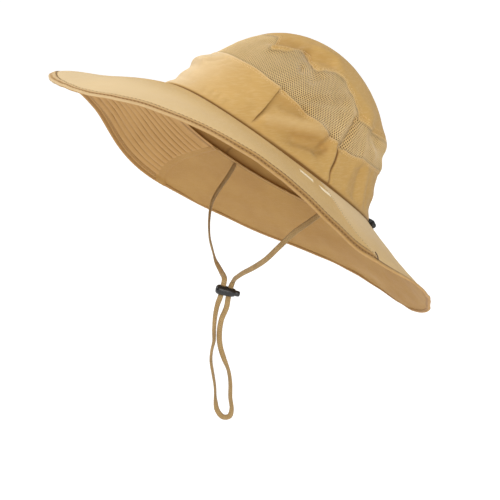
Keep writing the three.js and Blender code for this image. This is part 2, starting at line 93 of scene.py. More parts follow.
# Folds of the crown: angle and height of both ends, how far each stands out, and its width.
FOLDS = [
    (-28, 33, 0, 31, 4.4, 7), (-24, 18, 0, 18, 1.2, 5), (-22, 9, 8, 9, -1.2, 4), (55, 9, 79, 29, 2.2, 6),
    (58, 30, 70, 33, -1.8, 6), (70, 10, 84, 20, -1.6, 6), (54, 40, 53, 8, -1.6, 3),
    (91, 33, 87, 15, -1.4, 4), (26, 66, 54, 85, 2.2, 6), (48, 79, 68, 80, -3.0, 8),
    (48, 76, 62, 66, -2.6, 5), (76, 86, 84, 82, 1.8, 7), (104, 60, 98, 34, -1.8, 5),
    (115, 66, 126, 44, 1.8, 5), (120, 54, 133, 55, -2.8, 6), (150, 61, 160, 60, 2.8, 7),
    (146, 44, 164, 43, 1.9, 5), (140, 20, 165, 19, 1.3, 5), (118, 28, 116, 8, -1.2, 4),
    (127, 30, 126, 8, 1.2, 4), (-54, 40, -53, 8, -1.6, 3), (-60, 12, -84, 27, 1.8, 7),
    (-30, 64, -60, 80, 1.8, 7), (-70, 72, -84, 60, -2.2, 7), (-96, 58, -100, 34, -1.6, 6),
    (-128, 62, -136, 44, 1.6, 6), (-146, 58, -152, 50, -2.2, 7), (-122, 28, -120, 8, -1.2, 5),
    (168, 30, 172, 8, -1.0, 5),
]

# Painted shade (above zero) in the dents of the crown's folds and painted light (below it) on a lit fold
# band, along such lines, as a share of the seam's darkness.
FOLD_LIGHT_AND_SHADE = [
    (18, 74, 40, 80, 0.3, 6), (59, 31, 70, 35, 0.2, 4.5), (57, 13, 82, 32, -0.16, 4.5),
    (73, 15, 87, 21, 0.1, 4.5),
]

# Finer creases of the same kind, too slight for the solid model.
CREASES = [
    (9, 39, 4, 31, -1.0, 1.8), (6, 40, 1, 32, 0.6, 2.2), (15, 38, 11, 31, -0.8, 1.8),
    (34, 37, 38, 31, -0.5, 1.8), (21, 9, 23, 3, -0.6, 1.2), (26, 11, 27.5, 3, -0.9, 1.2),
    (30.5, 10, 32, 3, -0.8, 1.2), (36, 8, 37, 3, -0.5, 1.2), (18, 73, 36, 79, -3.0, 4.5),
    (28, 64, 43, 75, 1.0, 2.6), (44, 85, 74, 93, 2.2, 5), (52, 78, 70, 83, -2.8, 4),
    (64, 70, 82, 78, 1.3, 3), (47, 78, 59, 71, -1.6, 2.0), (65, 60, 68.5, 67, -2.0, 2.8),
    (54, 66, 55, 63, -2.8, 2.2), (52, 44, 60, 58, -0.9, 2.4), (64, 41, 91, 61, -1.3, 2.8),
    (66, 48, 90, 67, 0.9, 3.2), (94, 36, 100, 58, 1.5, 4), (99, 30, 104, 57, -3.2, 2.2),
    (104, 57, 110, 62, -1.4, 2.4), (126, 57, 135, 56, -2.4, 5), (116, 30, 114, 62, 1.0, 3),
    (57, 13, 82, 32, 2.3, 5), (59, 31, 70, 35, -3.0, 4.5), (73, 14, 87, 22, -3.2, 4.5),
    (90.5, 32, 89.5, 24, -2.0, 1.8), (89.5, 24, 86, 15.5, -1.5, 2.0), (86, 31, 85, 22, 1.3, 2.6),
    (20, 22, 44, 14, 0.7, 5), (24, 12, 46, 22, -0.6, 5), (112, 30, 108, 6, 0.8, 3),
    (119, 26, 118, 6, -1.0, 3), (124, 32, 124, 8, 0.9, 3), (131, 30, 132, 8, -1.0, 3.2),
    (140, 8, 170, 10, -0.6, 4), (96, 76, 120, 70, 0.9, 4), (40, 90, 90, 90, -0.8, 5),
    (-20, 40, -34, 34, -0.7, 2.4), (-62, 50, -92, 56, -1.0, 3.2), (-98, 33, -106, 50, -2.0, 2.4),
    (-84, 22, -78, 12, -0.8, 2.2), (-110, 22, -126, 15, 0.7, 4), (-134, 34, -152, 28, -0.8, 4),
    (-60, 66, -66, 58, -1.0, 2.4), (-40, 80, -62, 88, 1.4, 5), (-150, 30, -152, 8, -0.9, 3),
    (-165, 30, -164, 10, 0.8, 3),
]


def smooth(values, position, before, after):
    """Catmull-Rom through evenly spaced numbers."""
    table = np.array([before, *values, after], float)
    i = np.clip(np.floor(position).astype(int), 0, len(values) - 2)
    f = position - i
    p0, p1, p2, p3 = table[i], table[i + 1], table[i + 2], table[i + 3]
    cubic = 3 * p1 - p0 - 3 * p2 + p3
    return 0.5 * (2 * p1 + (p2 - p0) * f + (2 * p0 - 5 * p1 + 4 * p2 - p3) * f**2 + cubic * f**3)


def step(low, high, x):
    """Eases from 0 at low to 1 at high."""
    t = np.clip((np.asarray(x, float) - low) / (high - low), 0, 1)
    return t * t * (3 - 2 * t)


def bell(x, width):
    return np.exp(-((x / width) ** 2))


def unit(vectors):
    return vectors / np.linalg.norm(vectors, axis=-1, keepdims=True)


def distances_along(line):
    """The length of a line of points up to each of them."""
    return np.concatenate([[0], np.cumsum(np.linalg.norm(np.diff(line, axis=0), axis=1))])


def signed(angle):
    return (np.asarray(angle, float) + 180) % 360 - 180


def from_front(angle):
    return np.abs(signed(angle))


def brim_column(name, angle):
    values = BRIM_RAYS[name]
    return smooth(values, from_front(angle) / RAY_STEP, values[1], values[-2])


def eased(rows, x):
    """A table of (place, value) rows, eased from each row to the next."""
    places, values = np.array(rows, float).T
    i = np.clip(np.searchsorted(places, x) - 1, 0, len(rows) - 2)
    t = np.clip((x - places[i]) / (places[i + 1] - places[i]), 0, 1)
    return values[i] + (values[i + 1] - values[i]) * t * t * (3 - 2 * t)


def by_side(table, angle):
    """The wearer's left lies at angles above zero, the right at those below."""
    a = from_front(angle)
    return np.where(signed(angle) > 0, eased(table["left"], a), eased(table["right"], a))


def vent_foot(angle):
    return eased(VENT_LOWER, from_front(angle))


def vent_head(angle):
    return by_side(VENT_UPPER, angle)


def ring_height(angle):
    return RING["arch"] * np.cos(2 * np.radians(angle))


def wall_fraction(height):
    return np.arcsin(np.clip(np.asarray(height, float) / CROWN_HEIGHT, 0, 1)) / (math.pi / 2)


def crown_radius(name, fraction):
    values = CROWN_ROWS[name]
    return smooth(values, fraction * (len(values) - 1), 2 * values[0] - values[1], -values[-2])


def fold_push(angle, height, folds):
    mm = DEGREE * crown_radius("side", wall_fraction(height))
    push = np.zeros(np.broadcast(angle, height).shape)
    for angle1, height1, angle2, height2, out, width in folds:
        px, py = signed(angle - angle1) * mm, height - height1
        sx, sy = (angle2 - angle1) * mm, height2 - height1
        t = np.clip((px * sx + py * sy) / (sx**2 + sy**2 + 1e-6), 0, 1)
        push += out * bell(np.hypot(px - t * sx, py - t * sy), width)
    return push


def crown_point(angle, fraction):
    """A point of the crown's outer face, from the ring at fraction 0 to the apex at 1."""
    a = np.radians(angle)
    height = CROWN_HEIGHT * np.sin(fraction * math.pi / 2)
    front = np.cos(a) > 0
    length = np.where(front, crown_radius("front", fraction), crown_radius("back", fraction))
    side = crown_radius("side", fraction)
    fade = step(0, 5, height) * (1 - step(0.85, 1, fraction))
    push = 1 + fold_push(angle, height, FOLDS) * fade / np.maximum(side, 20)
    lift = ring_height(angle) * (1 - fraction) ** 2
    return np.stack([side * push * np.sin(a), -length * push * np.cos(a), height + lift], -1)


def brim_point(angle, share):
    """A point of the brim's upper face, from the ring at share 0 to the outer edge at 1."""
    a = np.radians(angle)
    length = np.where(np.cos(a) > 0, RING["front"], RING["back"])
    out = brim_column("reach", angle) * share
    s = np.maximum(share, 0)
    fall = brim_column("drop", angle) * (s + brim_column("bow", angle) * s * (1 - s))
    lip = FRONT_LIP["rise"] * step(1 - FRONT_LIP["reach"], 1.02, share)
    lip = lip * bell(signed(angle), FRONT_LIP["spread"])
    z = ring_height(angle) * (1 - s) - fall + lip
    return np.stack([(RING["side"] + out) * np.sin(a), -(length + out) * np.cos(a), z], -1)


def brim_width(angle):
    return np.hypot(brim_column("reach", angle), brim_column("drop", angle))


def edge_distance(angle, share):
    return (1 - share) * brim_width(angle)


def before_edge(distance):
    """The share of the brim's width that lies this far before its edge, by angle."""
    return lambda angle: 1 - distance / brim_width(angle)


def flap_seam(share):
    """The angle of the seam between brim and flap."""
    return 91.4 + 6.6 * np.clip(share, 0, 1) ** 4


# The brim's edge, where its binding turns down: how wide it turns, how high the brim rises to the turn and
# how far it turns, by angle from the front on the wearer's right and left.
TURN_WIDTH = 7.2
TURN_RISE = {
    "right": [
        (0, 0.3), (4, 1.6), (8, 3.4), (12, 4.8), (16, 5.2), (20, 5.2), (26, 5.2), (32, 4.6), (44, 3),
        (60, 2.4), (98, 0.8), (110, 0), (145, 0.5), (155, 1.4), (161, 2.3), (166, 1.9), (175, -0.3),
        (180, -1.5),
    ],
    "left": [
        (0, 0.3), (4, -0.9), (8, -2), (12, -1.8), (20, -0.4), (32, 0.8), (56, 1.1), (64, 1.8), (72, 2.9),
        (76, 3.1), (84, 2.2), (92, 0.7), (98, 1.2), (108, 1.9), (120, 0.7), (131, -1),
        (141, -3), (148, -3.6), (155, -2.9), (166, -1.1), (180, -1.5),
    ],
}
TURN_DOWN = {
    "right": [
        (0, 30), (8, 45), (14, 40), (20, 30), (28, 50), (36, 74), (60, 62), (90, 50), (98, 20), (104, 6),
        (180, 6),
    ],
    "left": [
        (0, 30), (8, 12), (14, 26), (48, 24), (58, 48), (92, 52), (98, 20), (105, 4), (118, -17), (138, -15),
        (174, 6), (180, 6),
    ],
}


def brim_shape(angle, share):
    """The brim's upper face with its edge turned down."""
    angle, share = np.broadcast_arrays(np.asarray(angle, float), np.asarray(share, float))
    distance = edge_distance(angle, share)
    past = np.clip(TURN_WIDTH - distance, 0, None)
    before_turn = np.maximum(distance - TURN_WIDTH, 0)
    fold = np.minimum(share, before_edge(TURN_WIDTH)(angle))
    along = brim_point(angle + 0.5, fold) - brim_point(angle - 0.5, fold)
    out = unit(brim_point(angle, fold + 0.01) - brim_point(angle, fold - 0.01))
    rise = unit(np.cross(out, along))
    turn = np.radians(by_side(TURN_DOWN, angle)) + 1e-6
    forward = TURN_WIDTH * np.sin(turn * past / TURN_WIDTH) / turn
    down = TURN_WIDTH * (1 - np.cos(turn * past / TURN_WIDTH)) / turn
    lifted = by_side(TURN_RISE, angle) * bell(before_turn, 22)
    fuller = 1.2 * bell(signed(angle), 40) + 2.6 * bell(signed(angle) - 149, 13)
    forward = forward + fuller * bell(before_turn, 16)
    return brim_point(angle, fold) + out * forward[..., None] + rise * (lifted - down)[..., None]


def worn(points):
    """From the hat's own frame in millimetres to the row frame in metres."""
    x, y, z = np.moveaxis(np.asarray(points, float), -1, 0)
    c, s = math.cos(PITCH), math.sin(PITCH)
    return np.stack([x, y * c + z * s, -y * s + z * c], -1) / 1000


def ripple(u, v, seed, wavelength):
    """Smooth, even unrest between -1 and 1 over a cloth measured in millimetres."""
    rng = np.random.default_rng(seed)
    total, waves = 0, 7
    for _ in range(waves):
        turn, phase = rng.uniform(0, 2 * math.pi, 2)
        k = 2 * math.pi / (wavelength * rng.uniform(0.7, 1.5))
        total = total + np.sin(k * (u * math.cos(turn) + v * math.sin(turn)) + phase)
    return total / waves * 1.6


# ---- Mesh tools ----
def new_object(name, vertices, faces, materials, smooth_angle=None):
    mesh = bpy.data.meshes.new(name)
    mesh.from_pydata(np.asarray(vertices, float).reshape(-1, 3).tolist(), [], faces)
    for material in materials:
        mesh.materials.append(material)
    mesh.shade_smooth()
    if smooth_angle:
        mesh.set_sharp_from_angle(angle=math.radians(smooth_angle))
    piece = bpy.data.objects.new(name, mesh)
    scene.collection.objects.link(piece)
    return piece


def set_weave(mesh, uv):
    """Lays the uv layer that the threads follow, from one pair for each vertex."""
    corner_vertex = np.zeros(len(mesh.loops), int)
    mesh.loops.foreach_get("vertex_index", corner_vertex)
    mesh.uv_layers.new(name="weave").data.foreach_set("uv", uv[corner_vertex].ravel())


def set_painted_light_and_shade(mesh, values):
    """Painted shade at each vertex above zero, painted light (paler cloth) below it."""
    mesh.attributes.new("seam", "FLOAT", "POINT").data.foreach_set("value", values)


def attach(piece, body="hat", nodes=()):
    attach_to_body(piece, body)
    if nodes:
        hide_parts(*nodes)
    return piece


def normals_of(points, dome):
    if dome:
        along_u = np.roll(points, -1, 0) - np.roll(points, 1, 0)
        along_u[:, -1] = along_u[:, -2]
    else:
        along_u = np.gradient(points, axis=0)
    normals = np.cross(along_u, np.gradient(points, axis=1))
    if dome:
        normals[:, -1] = (0, 0, 1)
    return normals / np.maximum(np.linalg.norm(normals, axis=-1, keepdims=True), 1e-9)


def lengths_along(points, axis):
    steps = np.linalg.norm(np.diff(points, axis=axis), axis=-1)
    shape = list(points.shape[:2])
    shape[axis] = 1
    return np.concatenate([np.zeros(shape), np.cumsum(steps, axis)], axis)


def steps_with_rims(low, high, count, rims=(True, True), reach=0.03):
    """Even steps from low to high with a few closer ones at the rims, so that a rim can be round."""
    inner = list(np.linspace(low, high, count + 1))
    extra = [0.04, 0.16, 0.4]
    size = min(reach * (high - low), (high - low) / count)
    if rims[0]:
        inner += [low + size * e for e in extra]
    if rims[1]:
        inner += [high - size * e for e in extra]
    return np.array(sorted(set(round(x, 6) for x in inner)))


class Cloth:
    """A sheet of cloth over a grid of us by vs. A dome goes all round in u and closes at its apex, v = 1."""

    def __init__(self, surface, us, vs, thickness, lift, seam, rims, dome=False):
        self.us, self.vs = np.asarray(us, float), np.asarray(vs, float)
        U, V = np.meshgrid(self.us, self.vs, indexing="ij")
        self.dome, self.thickness = dome, thickness
        points = surface(U, V)
        self.points = points + normals_of(points, dome) * lift(U, V)[..., None]
        self.normals = normals_of(self.points, dome)
        self.u_mm = lengths_along(self.points, 0)
        self.v_mm = lengths_along(self.points, 1)
        # seam gives the painted shade (above zero) and painted light (below it) at each point.
        self.seam = seam(U, V)
        self.squeeze = self.rim_squeeze(rims)

    def rim_squeeze(self, rims):
        """How far both faces draw together at the named rims, so that these are round."""
        r = self.thickness / 2
        squeeze = np.zeros(self.u_mm.shape)
        distances = {"v0": self.v_mm, "v1": self.v_mm[:, -1:] - self.v_mm}
        for rim in rims.split():
            t = np.clip(1 - distances[rim] / r, 0, 1)
            squeeze = np.maximum(squeeze, r * (1 - np.sqrt(1 - t * t)) * 0.98)
        return squeeze[..., None]

    def build(self, name, materials, under=0.0):
        """Makes the piece. under moves its inner face out along the normals."""
        outer = self.points - self.normals * self.squeeze
        inner = self.points - self.normals * (self.thickness - self.squeeze) + self.normals * under
        columns, rows = self.u_mm.shape
        total = columns * rows
        at = np.arange(total).reshape(columns, rows)
        if self.dome:
            at[:, -1] = at[0, -1]
            here, following = at, np.roll(at, -1, 0)
        else:
            here, following = at[:-1], at[1:]
        faces = np.stack([here[:, :-1], following[:, :-1], following[:, 1:], here[:, 1:]], -1).reshape(-1, 4)
        edges = [(following[:, 0], here[:, 0])]
        if not self.dome:
            edges += [(here[:, -1], following[:, -1]), (at[0, :-1], at[0, 1:]), (at[-1, 1:], at[-1, :-1])]
        rim = [np.stack([a, b, b + total, a + total], -1) for a, b in edges]
        quads = np.concatenate([faces, faces[:, ::-1] + total, *rim]).tolist()
        quads = [list(dict.fromkeys(quad)) for quad in quads]
        inside = [int(len(faces) <= k < 2 * len(faces)) for k, quad in enumerate(quads) if len(quad) > 2]
        vertices = np.concatenate([worn(outer).reshape(-1, 3), worn(inner).reshape(-1, 3)])
        piece = new_object(name, vertices, [quad for quad in quads if len(quad) > 2], materials, 50)
        mesh = piece.data
        mesh.polygons.foreach_set("material_index", inside)
        set_weave(mesh, np.tile(np.stack([self.u_mm, self.v_mm], -1).reshape(-1, 2), (2, 1)))
        seam = self.seam.reshape(-1)
        # The inner face gets less of the painted shade and none of the painted light.
        set_painted_light_and_shade(mesh, np.concatenate([seam, 0.45 * np.maximum(seam, 0)]))
        if self.dome:
            drop_loose(mesh)
        return piece

    def path(self, u=None, v=None, below=False, lift=0.0):
        """Points and normals along a line of the cloth: v gives the row for each column, or one column u."""
        face = self.points - self.normals * (self.thickness if below else 0)
        if v is not None:
            rows = np.broadcast_to(np.asarray(v, float), (len(self.us),))
            at = np.array([np.interp(row, self.vs, np.arange(len(self.vs))) for row in rows])
            columns = np.arange(len(self.us))
        else:
            columns = np.full(len(self.vs), np.interp(u, self.us, np.arange(len(self.us))))
            at = np.arange(len(self.vs))
        i, j = np.floor(columns).astype(int), np.floor(at).astype(int)
        i2, j2 = np.minimum(i + 1, len(self.us) - 1), np.minimum(j + 1, len(self.vs) - 1)
        fi, fj = (columns - i)[:, None], (at - j)[:, None]

        def mix(field):
            near = field[i, j] * (1 - fj) + field[i, j2] * fj
            far = field[i2, j] * (1 - fj) + field[i2, j2] * fj
            return near * (1 - fi) + far * fi

        normal = mix(self.normals) * (-1 if below else 1)
        return mix(face) + normal * lift, normal


def drop_loose(mesh):
    used = np.zeros(len(mesh.vertices), bool)
    used[np.fromiter((i for p in mesh.polygons for i in p.vertices), int)] = True
    bm = bmesh.new()
    bm.from_mesh(mesh)
    bm.verts.ensure_lookup_table()
    bmesh.ops.delete(bm, geom=[bm.verts[i] for i in np.nonzero(~used)[0]], context="VERTS")
    bm.to_mesh(mesh)
    bm.free()


def front_highlight(angle):
    """A painted highlight: the cloth is painted palest at the front."""
    return -bell(signed(angle) + 8, 62)


class Thread:
    """Single stitches, gathered to be joined in one mesh."""

    def __init__(self):
        self.vertices, self.faces, self.count = [], [], 0

    def capsules(self, start, end, normal, radius, arch):
        start, end, normal = (np.asarray(x, float) for x in (start, end, normal))
        along = unit(end - start)
        across = unit(np.cross(along, normal))
        up = np.cross(across, along)
        swell = (0.35, 0.92, 1.0, 0.92, 0.35)
        rings, sides = len(swell), 6
        for k in range(rings):
            t = k / (rings - 1)
            r = radius * swell[k]
            centre = start + (end - start) * t + up * (arch * math.sin(math.pi * t))
            for s in range(sides):
                turn = 2 * math.pi * s / sides
                offset = across * (r * math.cos(turn)) + up * (r * 0.8 * math.sin(turn))
                self.vertices.append(centre + offset)
        # every stitch has the same place in each ring's list, so faces step by ring
        number = len(start)
        index = self.count + np.arange(rings * sides * number).reshape(rings, sides, number)
        following = np.roll(index, -1, 1)
        quads = np.stack([index[:-1], following[:-1], following[1:], index[1:]], -1)
        self.faces += quads.reshape(-1, 4).tolist()
        self.faces += index[0][::-1].T.tolist()
        self.faces += index[-1].T.tolist()
        self.count += rings * sides * number

    def row(self, points, normals, length=2.3, gap=0.8, radius=0.22, arch=0.12, sink=0.06):
        """A row of stitches along a line of points."""
        total = distances_along(points)
        starts = np.arange(0, total[-1] - length, length + gap)
        ends = starts + length

        def at(s, values):
            return np.stack([np.interp(s, total, values[:, k]) for k in range(3)], 1)

        middle = at((starts + ends) / 2, normals)
        starts, ends = at(starts, points) - middle * sink, at(ends, points) - middle * sink
        self.capsules(starts, ends, middle, radius, arch)

    def build(self, name, material):
        return new_object(name, worn(np.concatenate(self.vertices)), self.faces, [material])


# ---- Materials ----
BRAID_PITCH = 1.6
SOCKETS = {
    "specular": "Specular IOR Level", "sheen": "Sheen Weight", "sheen_roughness": "Sheen Roughness",
    "glow": "Emission Color", "glow_strength": "Emission Strength",
}


class Nodes:
    """A material's nodes, with short names for the few kinds that the hat needs."""

    def __init__(self, name):
        self.material = bpy.data.materials.new(name)
        self.material.use_nodes = True
        self.tree = self.material.node_tree
        self.shader = self.tree.nodes["Principled BSDF"]

    def add(self, kind, **settings):
        node = self.tree.nodes.new(kind)
        for key, value in settings.items():
            setattr(node, key, value)
        return node

    def link(self, output, socket):
        if hasattr(output, "is_linked"):
            self.tree.links.new(output, socket)
        else:
            socket.default_value = output

    def math(self, operation, *values, clamp=False):
        node = self.add("ShaderNodeMath", operation=operation, use_clamp=clamp)
        for k, value in enumerate(values):
            self.link(value, node.inputs[k])
        return node.outputs[0]

    def scaled(self, value, factor, offset):
        return self.math("MULTIPLY_ADD", value, factor, offset)

    def uv(self):
        node = self.add("ShaderNodeUVMap", uv_map="weave")
        split = self.add("ShaderNodeSeparateXYZ")
        self.link(node.outputs[0], split.inputs[0])
        return split.outputs[0], split.outputs[1]

    def wave(self, value, pitch):
        return self.math("SINE", self.math("MULTIPLY", value, 2 * math.pi / pitch))

    def noise(self, scale, detail, roughness, stretch=(1, 1, 1)):
        place = self.add("ShaderNodeTexCoord")
        mapping = self.add("ShaderNodeMapping")
        mapping.inputs["Scale"].default_value = stretch
        self.link(place.outputs["Object"], mapping.inputs[0])
        node = self.add("ShaderNodeTexNoise")
        self.link(mapping.outputs[0], node.inputs["Vector"])
        for key, value in (("Scale", scale), ("Detail", detail), ("Roughness", roughness)):
            node.inputs[key].default_value = value
        return node.outputs["Fac"]

    def mix(self, factor, a, b):
        node = self.add("ShaderNodeMix", data_type="RGBA")
        self.link(factor, node.inputs[0])
        for value, socket in ((a, node.inputs[6]), (b, node.inputs[7])):
            self.link(value if hasattr(value, "is_linked") else (*value, 1), socket)
        return node.outputs[2]

    def dyed(self, colour, shade, *noise):
        """Colour and shade, clouded into each other."""
        return self.mix(self.remap(self.noise(*noise), 0.35, 0.65, 0, 1), colour, shade)

    def shaded_between(self, threads, tone, shade, amount):
        """The tone, with some of the shade where the threads lie low."""
        return self.mix(self.math("MULTIPLY", self.math("SUBTRACT", 1, threads), amount), tone, shade)

    def remap(self, value, low, high, to_low, to_high):
        node = self.add("ShaderNodeMapRange")
        self.link(value, node.inputs[0])
        for k, number in enumerate((low, high, to_low, to_high)):
            node.inputs[k + 1].default_value = number
        return node.outputs[0]

    def bump(self, height, distance, strength, after=None):
        node = self.add("ShaderNodeBump")
        node.inputs["Distance"].default_value = distance
        node.inputs["Strength"].default_value = strength
        self.link(height, node.inputs["Height"])
        if after is not None:
            self.link(after, node.inputs["Normal"])
        return node.outputs[0]

    def shade(self, colour, roughness, normal, **levels):
        """Joins the shader's three surfaces, sets its plain numbers, and gives the material."""
        for value, name in ((colour, "Base Color"), (roughness, "Roughness"), (normal, "Normal")):
            if value is not None:
                self.link(value, self.shader.inputs[name])
        for name, level in levels.items():
            self.shader.inputs[SOCKETS[name]].default_value = level
        return self.material


def srgb(red, green, blue):
    """A colour given from 0 to 255, in linear light."""
    values = np.array([red, green, blue]) / 255
    return tuple(np.where(values <= 0.04045, values / 12.92, ((values + 0.055) / 1.055) ** 2.4).tolist())


def woven(name, colour, shade, slub_and_light_tone, pitch=0.42):
    """Plain-woven cloth: threads over and under, soft clouding, painted shade where the seam attribute is
    above zero, and painted light, a little rougher, where it is below.
    """
    n = Nodes(name)
    u, v = n.uv()
    thread = n.scaled(n.math("MULTIPLY", n.wave(u, pitch), n.wave(v, pitch)), 0.5, 0.5)
    slubs = n.noise(160, 2, 0.5, stretch=(1, 1, 6))
    grain = n.noise(900, 2, 0.6)
    tone = n.dyed(colour, shade, 28, 4, 0.55)
    tone = n.mix(n.math("MULTIPLY", n.remap(slubs, 0.45, 0.7, 0, 1), 0.1), tone, slub_and_light_tone)
    tone = n.shaded_between(thread, tone, shade, 0.16)
    seam = n.add("ShaderNodeAttribute", attribute_name="seam").outputs["Fac"]
    # Above zero the seam attribute paints shade towards a dark brown; below zero it paints light towards the
    # pale tone.
    dark = n.math("MAXIMUM", seam, 0.0)
    painted_light_and_pale = n.math("MAXIMUM", n.math("MULTIPLY", seam, -1), 0.0)
    shadow_tone = tuple(c * k for c, k in zip(shade, (0.26, 0.15, 0.05)))
    tone = n.mix(n.math("MULTIPLY", dark, 0.85, clamp=True), tone, shadow_tone)
    tone = n.mix(n.math("MULTIPLY", painted_light_and_pale, 0.8, clamp=True), tone, slub_and_light_tone)
    rough = n.scaled(n.math("SUBTRACT", grain, 0.5), 0.25, 0.76)
    rough = n.math("ADD", rough, n.math("MULTIPLY", painted_light_and_pale, 0.08), clamp=True)
    wrinkles = n.bump(n.noise(70, 5, 0.6), 0.0012, 0.35)
    weave = n.bump(thread, 0.00012, 0.5, n.bump(grain, 0.0002, 0.35, wrinkles))
    return n.shade(tone, rough, weave, specular=0.24, sheen=0.07, sheen_roughness=0.4)


def knitted(name, colour, shade):
    """The vent mesh's yarn: fine wales along the cloth, with fuzz, uneven dye and the seam attribute's
    painted shade.
    """
    pitch = 0.62
    n = Nodes(name)
    u, v = n.uv()
    loops = n.scaled(n.math("MULTIPLY", n.wave(u, pitch), n.wave(v, pitch * 0.8)), 0.5, 0.5)
    tone = n.shaded_between(loops, n.dyed(colour, shade, 60, 4, 0.6), shade, 0.35)
    # The seam attribute paints shade: dark down the holes and near the band's rims.
    seam = n.add("ShaderNodeAttribute", attribute_name="seam").outputs["Fac"]
    shadow_tone = tuple(c * k for c, k in zip(shade, (0.2, 0.14, 0.07)))
    tone = n.mix(n.math("MULTIPLY", seam, 0.85, clamp=True), tone, shadow_tone)
    fuzz = n.noise(1400, 2, 0.6)
    relief = n.bump(loops, 0.0002, 0.8, n.bump(fuzz, 0.0002, 0.4))
    return n.shade(tone, n.scaled(fuzz, 0.15, 0.8), relief, specular=0.2, sheen=0.3)


def braided(name, colour, shade, across=5, sheen=0.2):
    """A braided cord: strands that cross in chevrons. u runs round the cord once, v along it in mm."""
    n = Nodes(name)
    u, v = n.uv()
    around = n.math("MULTIPLY", u, 2 * math.pi * across)
    along = n.math("MULTIPLY", v, 2 * math.pi / BRAID_PITCH)
    crossing = [n.math("SINE", n.math(way, around, along)) for way in ("ADD", "SUBTRACT")]
    strands = n.scaled(n.math("MAXIMUM", *crossing), 0.5, 0.5)
    tone = n.shaded_between(strands, n.dyed(colour, shade, 120, 3, 0.6), tuple(c * 0.6 for c in shade), 0.6)
    fibre = n.noise(1600, 2, 0.6)
    relief = n.bump(strands, 0.00035, 0.8, n.bump(fibre, 0.0002, 0.4))
    return n.shade(tone, n.scaled(fibre, 0.15, 0.68), relief, specular=0.3, sheen=sheen)


def sewing_thread(name, colour, shade):
    n = Nodes(name)
    twist = n.noise(2600, 2, 0.5)
    tone = n.dyed(colour, shade, 500, 2, 0.5)
    return n.shade(tone, n.scaled(twist, 0.2, 0.5), n.bump(twist, 0.0001, 0.5), sheen=0.2)


def moulded(name, colour, scuffed, roughness):
    """Moulded plastic: a fine spark-eroded grain, with scuffs that are paler and duller."""
    n = Nodes(name)
    scuffs = n.noise(220, 5, 0.7, stretch=(1, 3, 1))
    scuff_mask = n.remap(scuffs, 0.56, 0.72, 0, 1)
    grain = n.noise(3200, 2, 0.6)
    tone = n.mix(n.math("MULTIPLY", scuff_mask, 0.5), colour, scuffed)
    rough = n.scaled(scuff_mask, 0.2, n.scaled(grain, 0.12, roughness - 0.06))
    return n.shade(tone, rough, n.bump(grain, 0.00004, 0.5, n.bump(scuffs, 0.0001, 0.2)))


# Each woven cloth's third colour is the pale tone of its slubs and of its painted light. The inner faces of
# the crown and brims, the binding and the flap's underside use copies of the cloth dyed darker: painted
# shade.
CROWN = woven("crown_weave", srgb(194, 156, 92), srgb(187, 149, 86), srgb(234, 210, 170))
SHADED_CROWN_INSIDE = woven("crown_inside", srgb(180, 140, 80), srgb(170, 130, 74), srgb(192, 152, 92))
VENT = knitted("vent_knit", srgb(232, 200, 142), srgb(221, 188, 128))
BRIM_TOP = woven("brim_weave", srgb(202, 165, 99), srgb(195, 158, 93), srgb(228, 207, 170))
BRIM_UNDER = woven("brim_underside", srgb(186, 144, 86), srgb(179, 137, 80), srgb(200, 158, 102))
RIM = woven("rim_binding", srgb(176, 137, 80), srgb(168, 129, 74), srgb(226, 202, 160), pitch=0.5)
FLAP_UNDER = woven("flap_underside", srgb(175, 135, 75), srgb(167, 126, 69), srgb(198, 162, 106))
# Dark brown thread; its darkness is partly painted shade, of the needle holes.
BROWN_THREAD = sewing_thread("seam_thread", srgb(92, 58, 20), srgb(70, 42, 13))
PALE_THREAD = sewing_thread("pale_thread", srgb(226, 196, 146), srgb(210, 176, 122))
# Pale cream bartacks, partly a painted highlight on the brim's puckers.
CREAM_THREAD = sewing_thread("cream_thread", srgb(236, 222, 190), srgb(222, 204, 166))
TAN_THREAD = sewing_thread("tan_thread", srgb(186, 146, 92), srgb(168, 126, 74))
CORD = braided("chin_cord_braid", srgb(176, 146, 98), srgb(160, 130, 84))
BLACK_CORD = braided("back_cord_braid", srgb(30, 31, 32), srgb(18, 19, 20), across=4, sheen=0.1)
PLASTIC = moulded("lock_plastic", srgb(26, 27, 28), srgb(58, 60, 60), roughness=0.34)
BUTTON = moulded("button_plastic", srgb(34, 35, 36), srgb(70, 72, 72), roughness=0.4)


# ---- Cords ----
def spline(points, spacing):
    """Centripetal Catmull-Rom through the points, resampled at even lengths."""
    p = [np.asarray(q, float) for q in points]
    p = [2 * p[0] - p[1], *p, 2 * p[-1] - p[-2]]
    line = []
    for k in range(1, len(p) - 2):
        p0, p1, p2, p3 = p[k - 1 : k + 3]
        d0, d1, d2 = (max(np.linalg.norm(b - a), 1e-6) ** 0.5 for a, b in ((p0, p1), (p1, p2), (p2, p3)))
        t1 = ((p1 - p0) / d0 - (p2 - p0) / (d0 + d1) + (p2 - p1) / d1) * d1
        t2 = ((p2 - p1) / d1 - (p3 - p1) / (d1 + d2) + (p3 - p2) / d2) * d1
        for t in np.linspace(0, 1, 24, endpoint=False):
            cubic = (2 * p1 - 2 * p2 + t1 + t2) * t**3
            line.append(p1 + t1 * t + (-3 * p1 + 3 * p2 - 2 * t1 - t2) * t**2 + cubic)
    line.append(p[-2])
    line = np.array(line)
    total = distances_along(line)
    at = np.linspace(0, total[-1], max(int(round(total[-1] / spacing)), 2) + 1)
    return np.stack([np.interp(at, total, line[:, k]) for k in range(3)], 1), total[-1]


